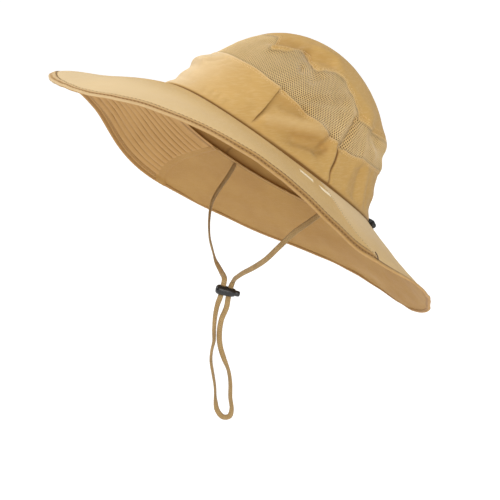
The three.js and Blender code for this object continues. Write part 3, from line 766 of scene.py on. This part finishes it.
def cord_mesh(name, line, flat, width, height, material, across=5, sides=20):
    """A braided cord or tape along a line: flat gives the direction that its flat side faces."""
    tangent = unit(np.gradient(line, axis=0))
    side = unit(np.cross(tangent, flat))
    face = np.cross(side, tangent)
    turn = np.linspace(0, 2 * math.pi, sides, endpoint=False)
    square = 2.6
    x, y = (np.sign(w) * np.abs(w) ** (2 / square) for w in (np.cos(turn), np.sin(turn)))
    x, y = x * width / 2, y * height / 2
    along = distances_along(line) * 1000
    phase_u = across * turn[None, :]
    phase_v = 2 * math.pi * along[:, None] / BRAID_PITCH
    braid = np.maximum(np.sin(phase_u + phase_v), np.sin(phase_u - phase_v))
    ends = np.ones(len(line))
    for k, shrink in enumerate((0.55, 0.85, 0.96)):
        ends[k] = ends[-1 - k] = shrink
    grow = 1 + 0.1 * (braid - 0.6)
    rings = line[:, None] + side[:, None] * (x * grow * ends[:, None])[..., None]
    rings = rings + face[:, None] * (y * grow * ends[:, None])[..., None]
    index = np.arange(len(line) * sides).reshape(-1, sides)
    following = np.roll(index, -1, 1)
    quads = np.stack([index[:-1], index[1:], following[1:], following[:-1]], -1).reshape(-1, 4).tolist()
    faces = quads + [index[0].tolist(), index[-1][::-1].tolist()]
    piece = new_object(name, rings, faces, [material])
    uv = np.stack(np.broadcast_arrays(turn[None, :] / (2 * math.pi), along[:, None]), -1).reshape(-1, 2)
    set_weave(piece.data, uv)
    return piece


# The cord locks and the cords' places in them, in millimetres and degrees.
LOCK = {
    "length": 16.4, "height": 7.6, "width": 9.6, "taper": 0.1, "square": 3.5, "end_wall": 1.35,
    "bore": 2.6, "button": 2.3, "slot_half": 4.75, "slot_height": 1.75, "slot_depth": 12,
}
CHIN_LOCK = {"place": (0, -33.7, -101.3), "heading": 61.6, "dip": 14}
BACK_LOCK = {"back": 111.5, "height": 8.2, "dip": 22, "tail": 9}
STRAND = 3
CHIN_WIDTH, CHIN_HEIGHT = 0.0042, 0.0017
CHIN_ANCHOR = {"angle": 104.0, "share": 0.01}
# How far the tape is twisted, in degrees, by the millimetres from the lowest place of its loop.
CHIN_TWIST = [
    (-225, 10), (-175, 60), (-122, 72), (-108, 0), (-95, 0), (-58, 8), (-42, 52), (-14, 44), (-2, 12),
    (8, 25), (22, 76), (52, 68), (76, 50), (90, 30), (100, 0), (108, 0), (130, 25), (160, 50), (225, 10),
]

heading, dip = math.radians(CHIN_LOCK["heading"]), math.radians(CHIN_LOCK["dip"])
level = np.array([math.cos(heading), math.sin(heading), 0])
up = np.array([0, 0, 1.0])
barrel = level * math.cos(dip) - up * math.sin(dip)
strand = level * math.sin(dip) + up * math.cos(dip)
lock_face = np.cross(barrel, strand)
chin_matrix = Matrix([[*row] for row in np.stack([barrel, strand, lock_face], 1)]).to_4x4()
chin_matrix.translation = Vector(CHIN_LOCK["place"]) / 1000

tip_back = Matrix.Rotation(-PITCH, 4, "X")
back_place = Matrix.Translation(Vector((0, BACK_LOCK["back"], BACK_LOCK["height"])) / 1000)
back_matrix = tip_back @ back_place @ Matrix.Rotation(-math.radians(BACK_LOCK["dip"]), 4, "X")


def in_lock(matrix, x, y, z):
    """A place given in a lock's own frame, in millimetres."""
    return np.array(matrix @ (Vector((x, y, z)) / 1000))


def chin_anchor(distance):
    """A place this far below the cloth where the chin cord is sewn on."""
    a, s, d = np.array(CHIN_ANCHOR["angle"]), CHIN_ANCHOR["share"], 0.004
    inward = brim_point(a, s - d) - brim_point(a, s + d)
    normal = unit(np.cross(brim_point(a + 0.5, s) - brim_point(a - 0.5, s), inward))
    return worn(brim_point(a, s) - normal * (1.5 + distance))


# The chin cord's left side, from the anchor down to the lock, in the row frame.
CHIN_SIDE = [
    (77.6, 8.6, -27.6), (75.2, 2.2, -33.2), (71, -5.5, -39.6), (66, -12, -46), (57, -18.8, -57.1),
    (46, -24.1, -68.4), (34, -27.6, -76.4), (22, -30.6, -83), (12, -31.4, -88.8),
]
# Its loop: how far along the lock's heading and how far below the lock's middle.
CHIN_LOOP = [
    (0.4, 13), (-3.6, 23), (-5.2, 34), (-4.6, 44), (-1.8, 54), (1.8, 64), (3.2, 74), (3.2, 86), (4.2, 95.5),
    (2.4, 101.2), (-2.6, 101.8), (-7, 96.5), (-8.4, 89), (-8.8, 77), (-10.4, 66), (-11.8, 56), (-11.2, 48),
    (-9.4, 40), (-9.3, 31), (-8.4, 20), (-6.6, 11),
]
left_side = [chin_anchor(d) for d in (0.05, 1, 2)] + [np.array(p) / 1000 for p in CHIN_SIDE]
right_side = [p * (-1, 1, 1) for p in left_side][::-1]
lock_centre = in_lock(chin_matrix, 0, 0, 0)
chin_route = [
    *left_side,
    *[in_lock(chin_matrix, *p, 0) for p in ((STRAND + 0.8, 9), (STRAND, 4.6), (STRAND, -4.6))],
    *[lock_centre + level * (along / 1000) - up * (below / 1000) for along, below in CHIN_LOOP],
    *[in_lock(chin_matrix, *p, 0) for p in ((-STRAND, -4.6), (-STRAND, 4.6), (-STRAND - 0.4, 9))],
    *right_side,
]
chin_line, chin_length = spline(chin_route, 0.00045)
near_lock = bell(chin_line[:, 0], 0.025)[:, None]
chin_flat = near_lock * lock_face + (1 - near_lock) * np.array([1.0, 0.1, 0])
chin_along = unit(np.gradient(chin_line, axis=0))
chin_flat = unit(chin_flat - (chin_flat * chin_along).sum(1, keepdims=True) * chin_along)
from_lowest = (np.linspace(0, 1, len(chin_line)) - 0.5) * chin_length * 1000
twist = np.radians(eased(CHIN_TWIST, from_lowest))[:, None]
chin_flat = chin_flat * np.cos(twist) + np.cross(chin_along, chin_flat) * np.sin(twist)
chin_cord = cord_mesh("chin_cord_tape", chin_line, chin_flat, CHIN_WIDTH, CHIN_HEIGHT, CORD)


def back_exit(distance):
    """A place this far behind the hole where the size cord leaves the crown, on the wearer's left."""
    point = crown_point(np.array(178.0), wall_fraction(14.5))
    outward = unit(np.array([0, 1, -0.05]))
    return worn(point + outward * (0.3 + distance))


tail = BACK_LOCK["tail"]
tail_points = [
    (STRAND, -9, 0.2), (STRAND, -4, 0), (STRAND, 4, 0), (STRAND * 1.05, tail * 0.75, -0.3),
    (STRAND * 0.7, tail, -0.9),
]
half_loop = [back_exit(d) for d in (0.7, 1.8, 3.2)] + [in_lock(back_matrix, *p) for p in tail_points]
tail_end = in_lock(back_matrix, 0, tail + 1.4, -1.2)
back_route = [*half_loop, tail_end, *[p * (-1, 1, 1) for p in half_loop[::-1]]]
back_line, back_length = spline(back_route, 0.0004)
back_flat = np.broadcast_to(np.array(back_matrix.to_3x3() @ Vector((0, 0, 1))), back_line.shape)
back_cord = cord_mesh("back_cord_braid", back_line, back_flat, 0.0026, 0.0025, BLACK_CORD, across=4, sides=16)

attach(chin_cord, nodes=["chin_cord"])
attach(back_cord, nodes=["back_cord"])


# ---- Cord locks ----
def rings_of(rows, sides):
    """The vertices and faces of a surface turned round an axis, from rows of (place along it, radius)."""
    turns = [2 * math.pi * k / sides for k in range(sides)]
    vertices = [(x, r * math.cos(a), r * math.sin(a)) for x, r in rows for a in turns]
    faces = []
    for low in range(0, (len(rows) - 1) * sides, sides):
        for k in range(sides):
            after = (k + 1) % sides
            faces.append((low + k, low + after, low + sides + after, low + sides + k))
    return vertices, faces


def turned(name, outline, squash_z=1.0):
    """A closed solid turned about X from rows of (place along X, radius), in millimetres."""
    segments = 72
    vertices, faces = rings_of(outline, segments)
    vertices = [(x / 1000, y / 1000, z * squash_z / 1000) for x, y, z in vertices]
    last = (len(outline) - 1) * segments
    faces.append(tuple(range(segments))[::-1])
    faces.append(tuple(last + s for s in range(segments)))
    return new_object(name, vertices, faces, [])


def slab(name, x_from, x_to, half_y, half_z):
    ends = [(x, y * half_y, z * half_z) for x in (x_from, x_to) for y in (-1, 1) for z in (-1, 1)]
    corners = [tuple(w / 1000 for w in corner) for corner in ends]
    faces = [(0, 1, 3, 2), (4, 6, 7, 5), (0, 4, 5, 1), (2, 3, 7, 6), (0, 2, 6, 4), (1, 5, 7, 3)]
    return new_object(name, corners, faces, [])


def carved(name, blank, cutters, voxel, material, matrix):
    """The blank less the cutters, its edges rounded as a mould leaves them."""
    for cutter in cutters:
        boolean = blank.modifiers.new("cut", "BOOLEAN")
        boolean.operation = "DIFFERENCE"
        boolean.solver = "EXACT"
        boolean.object = cutter
    remesh = blank.modifiers.new("remesh", "REMESH")
    remesh.mode = "VOXEL"
    remesh.voxel_size = voxel / 1000
    soften = blank.modifiers.new("soften", "SMOOTH")
    soften.factor = 0.5
    soften.iterations = 4
    evaluated = blank.evaluated_get(bpy.context.evaluated_depsgraph_get())
    mesh = bpy.data.meshes.new_from_object(evaluated)
    for used in (blank, *cutters):
        bpy.data.objects.remove(used)
    mesh.name = name
    mesh.transform(matrix)
    mesh.materials.clear()
    mesh.materials.append(material)
    mesh.shade_smooth()
    piece = bpy.data.objects.new(name, mesh)
    scene.collection.objects.link(piece)
    return piece


def lock_outline():
    """The barrel's outline, 0.05 mm proud, which the rounding of its edges takes off again."""
    proud = 0.05
    rows = []
    for f in np.linspace(-1, 1, 49):
        x = math.sin(f * math.pi / 2)
        round_off = max(1 - abs(x) ** LOCK["square"], 0) ** (1 / LOCK["square"])
        radius = (LOCK["height"] / 2 + proud) * round_off * (1 - LOCK["taper"] * x)
        rows.append(((LOCK["length"] / 2 + proud) * x, max(radius, 0.02)))
    return rows


def make_lock(name, matrix, button_body):
    """A lock's barrel and its button. The cord's slot goes through both, and is longer in the button."""
    half, slot_half, plug_radius = LOCK["length"] / 2, LOCK["slot_half"], LOCK["button"]
    blank = turned("blank", lock_outline(), LOCK["width"] / LOCK["height"])
    bore = turned("bore", [(LOCK["end_wall"] - half, LOCK["bore"]), (half + 1, LOCK["bore"])])
    hole = slab("hole", -slot_half, slot_half, LOCK["slot_depth"], LOCK["slot_height"])
    body = carved(f"{name}_shell", blank, [bore, hole], 0.2, PLASTIC, matrix)
    attach(body, "hat", [f"{name}_body"])
    cap = [(half + x, r) for x, r in ((0.7, plug_radius), (1.6, 2.24), (2.3, 2.05), (2.8, 1.5), (3.0, 0.6))]
    plug = turned("plug", [(-5.55, plug_radius), *cap])
    gate = slab("gate", -slot_half, slot_half + 1, LOCK["slot_depth"], LOCK["slot_height"])
    button = carved(f"{name}_press_button", plug, [gate], 0.18, BUTTON, matrix)
    attach(button, button_body, [f"{name}_button"])
    return body, button


chin_lock, chin_button = make_lock("chin_lock", chin_matrix, "chin_button")
back_lock, back_button = make_lock("back_lock", back_matrix, "back_button")
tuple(chin_route[0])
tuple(back_route[0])

# ---- Crown ----
CLOTH_WALL = 0.9
CROWN_MM = DEGREE * 78
CROWN_STITCH = {"length": 2.0, "gap": 0.9, "radius": 0.14, "arch": 0.08}
brown, pale, tan, cream = Thread(), Thread(), Thread(), Thread()


def crease_push(angle, height):
    """What the finer creases and the cloth's own unrest add to the crown."""
    along = signed(angle) * (DEGREE * 75)
    fade = step(1, 6, height) * (1 - step(88, 97, height))
    unrest = 0.28 * ripple(along, height, 5, 26) + 0.1 * ripple(along, height, 9, 9)
    return fade * (fold_push(angle, height, CREASES) + unrest)


def base_roll(angle, height):
    """The crown's foot turns in over the seam with the brim, most at the side."""
    side = bell(from_front(angle) - 82, 26)
    return (0.2 + 0.4 * side) * bell(height - 4.5, 2.6) - 0.6 * bell(height, 1.2)


def tuck(height):
    return step(3, 16, height)


def strip_fraction(lower, upper, angle, v):
    low, high = wall_fraction(lower(angle)), wall_fraction(upper(angle))
    return low + (high - low) * v


def strip_height(lower, upper, angle, v):
    return CROWN_HEIGHT * np.sin(strip_fraction(lower, upper, angle, v) * math.pi / 2)


def ring(angle):
    return np.zeros(np.shape(angle))


def apex(angle):
    return np.full(np.shape(angle), float(CROWN_HEIGHT))


def lower_panel(name, node, start, end, left_edge, right_edge):
    """One lower panel of the crown. The edges say how its two sides are sewn: tuck_over, tuck_under, seam."""
    sides = ((left_edge, start, 1), (right_edge, end, -1))

    def skewed(u, v):
        height = strip_height(ring, vent_foot, u, v)
        shift = np.zeros(u.shape)
        for kind, edge, inward in sides:
            near = bell(u - edge, 6)
            if kind == "tuck_under":
                shift -= inward * 1.6 * tuck(height) * near
            if kind == "seam":
                shift += 0.55 * np.sin(height / 4.2 + signed(edge)) * near * step(4, 14, height)
        return u + shift, height

    def surface(u, v):
        angle, _ = skewed(u, v)
        return crown_point(angle, strip_fraction(ring, vent_foot, angle, v))

    def lift(u, v):
        angle, height = skewed(u, v)
        push = crease_push(angle, height) + base_roll(angle, height)
        for kind, edge, _ in sides:
            distance = np.abs(u - edge) * CROWN_MM
            if kind == "tuck_over":
                push += tuck(height) * 1.1 * bell(distance, 3.0)
            if kind == "tuck_under":
                push -= tuck(height) * 1.3 * bell(distance, 3.4)
            if kind == "seam":
                open_share = 0.35 + 0.65 * step(6, 20, height)
                push -= open_share * bell(distance, 0.9) - 0.35 * bell(distance - 2.2, 1.4)
        top = vent_foot(angle) - height
        return push + (0.25 * bell(top - 0.8, 1.1) - 0.2 * bell(top - 2.6, 0.6))

    def seam(u, v):
        # Painted shade in the groove at the crown's foot, beside the tucks and in the rear seams' grooves,
        # with the fold light and shade; paler along the top edge under the vent, and painted light over the
        # front.
        angle, height = skewed(u, v)
        dark = 2.6 * bell(height, 1.1 + 0.5 * bell(from_front(angle) - 82, 26))
        dark = dark + fold_push(angle, height, FOLD_LIGHT_AND_SHADE)
        for kind, edge, _ in sides:
            distance = np.abs(u - edge) * CROWN_MM
            if kind == "tuck_under":
                dark = dark + (1.7 * bell(distance, 1.7) + 0.3 * bell(distance, 5)) * tuck(height)
            if kind == "seam":
                dark = dark + (0.7 + 0.9 * step(6, 20, height)) * bell(distance, 0.75)
        dark = dark - 0.5 * bell(vent_foot(angle) - height, 1.0)
        return np.clip(dark - 0.6 * bell(signed(angle) + 42, 42) - 0.75 * bell(signed(angle) + 12, 24), -1, 1)

    us = steps_with_rims(start, end, int(round((end - start) / 0.8)))
    panel = Cloth(surface, us, steps_with_rims(0, 1, 46), CLOTH_WALL, lift, seam, "v0 v1")
    attach(panel.build(name, [CROWN, SHADED_CROWN_INSIDE]), nodes=[node])
    pale.row(*panel.path(v=0.945), **CROWN_STITCH)


for name, node, start, end, left_edge, right_edge in (
    ("front", "front_panel", -TUCK_ANGLE, TUCK_ANGLE, "tuck_over", "tuck_over"),
    ("left", "side_panel_left", TUCK_ANGLE, REAR_SEAM_ANGLE, "tuck_under", "seam"),
    ("right", "side_panel_right", -REAR_SEAM_ANGLE, -TUCK_ANGLE, "seam", "tuck_under"),
    ("back", "back_panel", REAR_SEAM_ANGLE, 360 - REAR_SEAM_ANGLE, "seam", "seam"),
):
    lower_panel(f"{name}_panel_cloth", f"crown_{node}", start, end, left_edge, right_edge)


def top_panel():
    def surface(u, v):
        return crown_point(u, strip_fraction(vent_head, apex, u, v))

    def lift(u, v):
        height = strip_height(vent_head, apex, u, v)
        above = height - vent_head(u)
        rolled = -0.5 * bell(above, 1.5) - 0.2 * bell(above - 3.2, 0.5)
        return crease_push(u, height) + rolled

    def seam(u, v):
        # Painted shadow under the panel's edge, most where it folds over the mesh, painted shade at its
        # stitch line, and the fold light and shade.
        above = strip_height(vent_head, apex, u, v) - vent_head(u)
        fold_shadow = 0.9 * bell(signed(u) - 56, 9) + 0.7 * bell(signed(u) - 103, 6)
        fold_light_and_shade = fold_push(u, above + vent_head(u), FOLD_LIGHT_AND_SHADE)
        return 0.25 * bell(above - 3.2, 0.4) + (0.2 + fold_shadow) * bell(above, 0.8) + fold_light_and_shade

    rows = np.unique(np.concatenate([np.linspace(0, 0.24, 26), np.linspace(0.24, 1, 60), [0.001, 0.004]]))
    panel = Cloth(surface, np.arange(0, 360, 1.0), rows, CLOTH_WALL, lift, seam, "v0", dome=True)
    attach(panel.build("top_panel_cloth", [CROWN, SHADED_CROWN_INSIDE]), nodes=["crown_top_panel"])
    pale.row(*[np.vstack([line, line[:1]]) for line in panel.path(v=0.07)], **CROWN_STITCH)


top_panel()


def vent_mesh():
    """The vent band: a spacer knit, its face a staggered pattern of small open holes over a close back,
    painted dark inside the holes as painted shade.
    """
    columns, rows, lowest, highest = 290, 40, 28.0, 79.5
    hole_share, lap = 0.66, 3.0
    half = 180 / columns
    t_low, t_high = wall_fraction(lowest), wall_fraction(highest)
    t_step = (t_high - t_low) / rows
    # each hole stands in a diamond, whose corners are whole half columns and rows, shared between neighbours
    index, angles, ts, cells, centres = {}, [], [], [], []
    for j in range(rows):
        for i in range(columns):
            centre, t = (2 * i + j % 2) * half, t_low + (j + 0.5) * t_step
            height = CROWN_HEIGHT * math.sin(t * math.pi / 2)
            if not vent_foot(centre) - lap < height < vent_head(centre) + lap:
                continue
            cell = []
            for dx, dy in ((1, 0), (0, 1), (-1, 0), (0, -1)):
                key = ((2 * i + j % 2 + dx) % (2 * columns), j + dy)
                if key not in index:
                    index[key] = len(angles)
                    angles.append(key[0] * half)
                    ts.append(t_low + (key[1] + 0.5) * t_step)
                cell.append(index[key])
            cells.append(cell)
            centres.append((centre, t))
    corners = len(angles)
    turns = np.radians(90 * np.arange(4))
    centres = np.array(centres)
    hole_angle = (centres[:, :1] + hole_share * half * np.cos(turns)).ravel()
    hole_t = (centres[:, 1:] + hole_share * t_step * np.sin(turns)).ravel()
    angle = np.concatenate([angles, hole_angle, hole_angle, angles])
    t = np.concatenate([ts, hole_t, hole_t, ts])
    holes = len(hole_t)
    below = np.repeat([0.0, 0.08, 0.8, 1.1], [corners, holes, holes, corners])
    # Painted shade: darker down the holes' walls, darkest on their floors, and on the back.
    dark = np.repeat([0.0, 0.1, 1.2, 0.3], [corners, holes, holes, corners])
    height = CROWN_HEIGHT * np.sin(t * math.pi / 2)
    along_angle = crown_point(angle + 0.5, t) - crown_point(angle - 0.5, t)
    normal = unit(np.cross(along_angle, crown_point(angle, t + 0.004) - crown_point(angle, t - 0.004)))
    points = crown_point(angle, t) + normal * (crease_push(angle, height) - 0.1 - below)[:, None]
    used = {}
    for cell in cells:
        for k in range(4):
            edge = tuple(sorted((cell[k], cell[(k + 1) % 4])))
            used[edge] = used.get(edge, 0) + 1
    back = corners + 2 * holes
    faces = []
    for number, cell in enumerate(cells):
        lip = [corners + 4 * number + k for k in range(4)]
        floor = [place + holes for place in lip]
        for k in range(4):
            m = (k + 1) % 4
            faces.append((cell[k], cell[m], lip[m], lip[k]))
            faces.append((lip[k], lip[m], floor[m], floor[k]))
            if used[tuple(sorted((cell[k], cell[m])))] == 1:
                faces.append((cell[m], cell[k], cell[k] + back, cell[m] + back))
        faces.append(tuple(floor))
        faces.append(tuple(place + back for place in cell[::-1]))
    piece = new_object("vent_mesh_knit", worn(points), faces, [VENT], smooth_angle=60)
    set_weave(piece.data, np.stack([angle * 1.26, t * 120], -1))
    # And darker near the band's rims.
    near_rim = np.minimum(height - vent_foot(angle), vent_head(angle) - height)
    set_painted_light_and_shade(piece.data, dark + 0.35 * bell(near_rim, 1.2))
    attach(piece, nodes=["mesh_band"])


vent_mesh()


# ---- Brim and flap ----
def brim_unrest(angle, share):
    """The brim's slight waves, none at the crown."""
    along = signed(angle) * (DEGREE * (90 + 80 * np.clip(share, 0, 1)))
    return step(0.05, 0.4, share) * 0.35 * ripple(along, share * 85, 21, 48)


LAP = 2.6
FRONT = (lambda share: -flap_seam(share), lambda share: flap_seam(share))
FLAP = (lambda share: flap_seam(share) - LAP, lambda share: 360 - flap_seam(share) + LAP)
HEM = (lambda share: flap_seam(share) + 0.05, lambda share: 359.95 - flap_seam(share))
BINDING_WIDTH, BINDING_OVERLAP = 7.7, 2.5
HEM_WIDTH, HEM_OVERLAP = 3.5, 1.0
# The stitch lines of the rims, by their distance from the edge.
OUTER_LINE, INNER_LINE, HEM_LINE = 2.6, 6.95, 2.7
# The stitched rows of the front brim, by share, and where the first of them is counted from.
ROWS = np.linspace(0.91, 0.12, 12)
ROWS_FROM = 0.955


def tucked_in(angle):
    return np.full(np.shape(angle), TUCKED_IN)


def seam_distance(angle, share):
    """How far a place lies behind the seam between brim and flap, in millimetres, either side."""
    return (from_front(angle) - flap_seam(share)) * DEGREE * (90 + 78 * share)


class BrimCloth(Cloth):
    """Cloth on the brim between two seams: u goes from seam to seam, v from the outer rim to the inner one.

    lift and seam are given by angle and share.
    """

    def __init__(self, seams, outer, inner, us, vs, thickness, lift, seam, rims):
        def place(u, v):
            guess = seams[0](0.5) + (seams[1](0.5) - seams[0](0.5)) * u
            o, i = outer(guess), inner(guess)
            share = o + (i - o) * v
            return seams[0](share) + (seams[1](share) - seams[0](share)) * u, share

        def placed(function):
            return lambda u, v: function(*place(u, v))

        self.place = place
        super().__init__(placed(brim_shape), us, vs, thickness, placed(lift), placed(seam), rims)


def brim_front():
    outer_rim = before_edge(BINDING_WIDTH - BINDING_OVERLAP)

    def lift(angle, share):
        past_binding = edge_distance(angle, share) - BINDING_WIDTH
        return brim_unrest(angle, share) - 0.35 * bell(past_binding - 0.3, 0.6)

    def seam(angle, share):
        # Painted shade by the crown and along the binding's edge; a painted highlight over the front.
        past_binding = edge_distance(angle, share) - BINDING_WIDTH
        dark = np.clip(bell(share * 80, 1.3) + 0.5 * bell(past_binding, 0.5), 0, 1)
        return dark + 0.8 * front_highlight(angle) * step(-0.1, 0.7, share) * (1 - dark)

    rows = set(np.linspace(0, 1, 44).tolist())
    for share in ROWS:
        row = (ROWS_FROM - share) / (ROWS_FROM - TUCKED_IN)
        rows |= {row + d / 90 for d in (-1.6, -0.8, -0.35, 0, 0.35, 0.8, 1.6)}
    vs = np.array(sorted(r for r in rows if 0 <= r <= 1))
    us = np.unique(np.concatenate([np.linspace(0, 1, 261), [0.001, 0.002, 0.998, 0.999]]))
    panel = BrimCloth(FRONT, outer_rim, tucked_in, us, vs, 1.6, lift, seam, "v1")
    angle, share = panel.place(*np.meshgrid(panel.us, panel.vs, indexing="ij"))
    before_seam = -seam_distance(angle, share)
    row = (ROWS[0] - share) / (ROWS[0] - ROWS[1])
    last = len(ROWS)
    inside = step(-0.55, -0.1, row) * (1 - step(last - 0.9, last - 0.45, row)) * step(2.5, 7, before_seam)
    puff = np.abs(np.sin(math.pi * row)) ** 0.45
    under = (0.55 - 1.25 * puff) * inside + 0.8 * (1 - step(0, 5, before_seam))
    cloth = panel.build("brim_front_cloth", [BRIM_TOP, BRIM_UNDER], under[..., None])
    # Painted shade in the grooves between the underside's stitched rows.
    groove_shade = (1 - puff) ** 2 * inside
    values = np.concatenate([panel.seam.ravel(), np.maximum(panel.seam, 0.75 * groove_shade).ravel()])
    cloth.data.attributes["seam"].data.foreach_set("value", values)
    attach(cloth, nodes=["brim_front"])
    outer = outer_rim(panel.place(panel.us, np.zeros(len(panel.us)))[0])
    for share in ROWS:
        points, normals = panel.path(v=(share - outer) / (TUCKED_IN - outer), below=True, lift=-0.5)
        brown.row(points[4:-4], normals[4:-4], length=2.6, gap=0.7, radius=0.22, arch=0.08)


def rim_band(name, node, seams, width, thickness, above, stitch_lines, columns):
    """The folded strip round an edge: it bulges between its stitch lines and pinches at them."""

    def lift(angle, share):
        distance = edge_distance(angle, share)
        push = above + brim_unrest(angle, share)
        pinch = np.sin(signed(angle) * DEGREE * 165 * 2 * math.pi / 3.1)
        for line, depth in stitch_lines:
            push = push - depth * bell(distance - line, 0.55) * (0.8 + 0.2 * pinch)
        return push + 0.12 * pinch * bell(distance - width * 0.55, width * 0.4)

    def seam(angle, share):
        # Painted shade at the stitch lines' pinches, less towards the front on the right; paler right at the
        # edge, and a painted highlight over the front.
        distance = edge_distance(angle, share)
        dark = np.clip(sum(3.6 * depth * bell(distance - line, 0.85) for line, depth in stitch_lines), 0, 1)
        pale = 0.1 * bell(distance, 0.9) - 0.7 * front_highlight(angle) * step(80, 20, from_front(angle))
        dark = dark * (1 - 0.7 * bell(signed(angle) + 20, 24))
        return dark - pale * (1 - dark)

    def edge(angle):
        return np.ones(np.shape(angle))

    us, vs = np.linspace(0, 1, columns), steps_with_rims(0, 1, 22, reach=0.2)
    band = BrimCloth(seams, edge, before_edge(width), us, vs, thickness, lift, seam, "v0 v1")
    return band, attach(band.build(name, [RIM, BRIM_UNDER]), nodes=[node])


brim_front()
binding, _ = rim_band(
    "binding_cloth", "brim_front_binding", FRONT, BINDING_WIDTH, 2.3, 0.3,
    [(INNER_LINE, 0.6), (OUTER_LINE, 0.3)], 361,
)
inner_v = INNER_LINE / BINDING_WIDTH
brown.row(*binding.path(v=inner_v, lift=0.05), length=2.4, gap=0.8, radius=0.34, arch=0.1)
tan.row(*binding.path(v=OUTER_LINE / BINDING_WIDTH), length=2.2, gap=0.9, radius=0.18, arch=0.08)
tan.row(*binding.path(v=inner_v, below=True), length=2.4, gap=0.8, radius=0.18, arch=0.08)


def flap():
    """The soft back brim: it laps under the front brim at its side seams."""

    def lift(angle, share):
        past_seam = seam_distance(angle, share)
        soft = step(4, 30, past_seam)
        wave = 0.5 * step(0.2, 0.9, share) * soft * ripple(signed(angle + 180) * 2.6, share * 60, 33, 40)
        deeper = 1.5 * (1 - step(5.5, 9, edge_distance(angle, share)))
        return brim_unrest(angle, share) + wave - (0.85 + deeper) * (1 - step(-0.3, 0.9, past_seam))

    def seam(angle, share):
        # Painted shade by the crown and along the lap seam; paler all over, most near the crown.
        dark = np.clip(bell(share * 80, 1.3) + 0.35 * bell(seam_distance(angle, share), 0.4), 0, 1)
        pale = 0.3 + 0.3 * (1 - step(0.2, 0.8, share))
        return dark - pale * (1 - dark)

    ends = np.array([0.4, 0.9, 1.2, 1.5, 1.8, 2.1, 2.5, 3, 3.6]) * LAP / 2 / 180
    us = np.unique(np.concatenate([np.linspace(0, 1, 221), ends, 1 - ends]))
    vs = steps_with_rims(0, 1, 60, (False, True))
    sheet = BrimCloth(FLAP, before_edge(HEM_WIDTH - HEM_OVERLAP), tucked_in, us, vs, 1.0, lift, seam, "v1")
    piece = attach(sheet.build("flap_cloth", [BRIM_TOP, FLAP_UNDER]), nodes=["brim_back_flap"])
    beside = (LAP + 0.75) / (360 - 2 * flap_seam(0.5) + 2 * LAP)
    for u in (beside, 1 - beside):
        brown.row(*sheet.path(u=u), length=1.8, gap=1.1, radius=0.2, arch=0.08)
    return piece, sheet


def bartack_highlight(start, end, share):
    """A short bar of close zigzag stitches on the brim beside the crown, pale cream, and partly a painted
    highlight on the brim's puckers there.
    """
    half_width, stitches = 0.038, 23
    angle = np.linspace(start, end, stitches)
    inner, outer = brim_shape(angle, share - half_width), brim_shape(angle, share + half_width)
    along = brim_shape(angle + 0.2, share) - brim_shape(angle - 0.2, share)
    normal = unit(np.cross(outer - inner, along))
    unrest = (brim_unrest(angle, share) + 0.12)[:, None] * normal
    cream.capsules(inner + unrest, outer + unrest, normal, 0.27, 0.3)


def end_bar(angle):
    """The dark bar of stitches across the end of the binding, where the hem begins."""
    shares = np.linspace(0.905, 0.985, 9)
    points = brim_shape(angle, shares)
    along = brim_shape(angle + 0.3, shares) - brim_shape(angle - 0.3, shares)
    normals = unit(np.cross(np.gradient(points, axis=0), along))
    points += 0.9 * normals
    brown.capsules(points[:-1], points[1:], normals[1:], 0.5, 0.2)


for side in (1, -1):
    end_bar(side * 97.6)
for low, high, share in ((77.5, 83, 0.26), (86.5, 91, 0.27)):
    for side in (1, -1):
        bartack_highlight(side * low, side * high, share)

flap_piece, flap_sheet = flap()
hem, hem_piece = rim_band("hem_cloth", "flap_hem", HEM, HEM_WIDTH, 1.8, 0.4, [(HEM_LINE, 0.36)], 321)
brown.row(*hem.path(v=HEM_LINE / HEM_WIDTH), length=2.2, gap=0.9, radius=0.2, arch=0.08)
around, inward = (np.diff(flap_sheet.points, axis=k) for k in (0, 1))

for thread, name, material in (
    (brown, "seam_stitches", BROWN_THREAD),
    (pale, "crown_stitches", PALE_THREAD),
    (tan, "rim_stitches", TAN_THREAD),
    (cream, "bartack_highlights", CREAM_THREAD),
):
    attach(thread.build(name, material))


# ---- Stage and light ----
def backdrop():
    """A floor that curves up into a wall, all round the far side."""
    n = Nodes("backdrop_paper")
    tone = n.mix(n.noise(3, 2, 0.5), (0.3, 0.3, 0.3), (0.34, 0.34, 0.34))
    n.shade(tone, 0.9, None, specular=0.1, glow=(1, 1, 1, 1), glow_strength=0.9)
    radius, floor, turn = 4.0, -0.262, 1.2
    rows = [(0, r) for r in (0, 0.5, 1.5, radius - turn)]
    bend = np.linspace(0.1, 1.05, 12)
    rows += [(turn - turn * math.cos(a), radius - turn + turn * math.sin(a)) for a in bend]
    vertices, faces = rings_of(rows, 64)
    new_object("backdrop", [(x, y, floor + z) for z, x, y in vertices], faces, [n.material])


backdrop()

world = bpy.data.worlds.new("studio")
scene.world = world
world.use_nodes = True
background = world.node_tree.nodes["Background"].inputs
background["Color"].default_value = (1, 1, 1, 1)
background["Strength"].default_value = 0.1


def softbox(name, place, size, power, colour=(1, 1, 1)):
    """A square lamp that looks at the hat."""
    light = bpy.data.lights.new(name, "AREA")
    light.shape, light.size, light.energy, light.color = "SQUARE", size, power, colour
    lamp = bpy.data.objects.new(name, light)
    scene.collection.objects.link(lamp)
    lamp.location = place
    lamp.rotation_mode = "QUATERNION"
    lamp.rotation_quaternion = (-Vector(place)).to_track_quat("-Z", "Y")


softbox("front", (2.0, -0.9, 1.2), 1.4, 43, (1, 0.995, 0.985))
softbox("top", (-0.3, 0.2, 2.4), 1.8, 35)
softbox("brow", (-1.5, -1.3, 1.6), 1.1, 27, (1, 0.99, 0.98))

scene.view_settings.view_transform = "Standard"
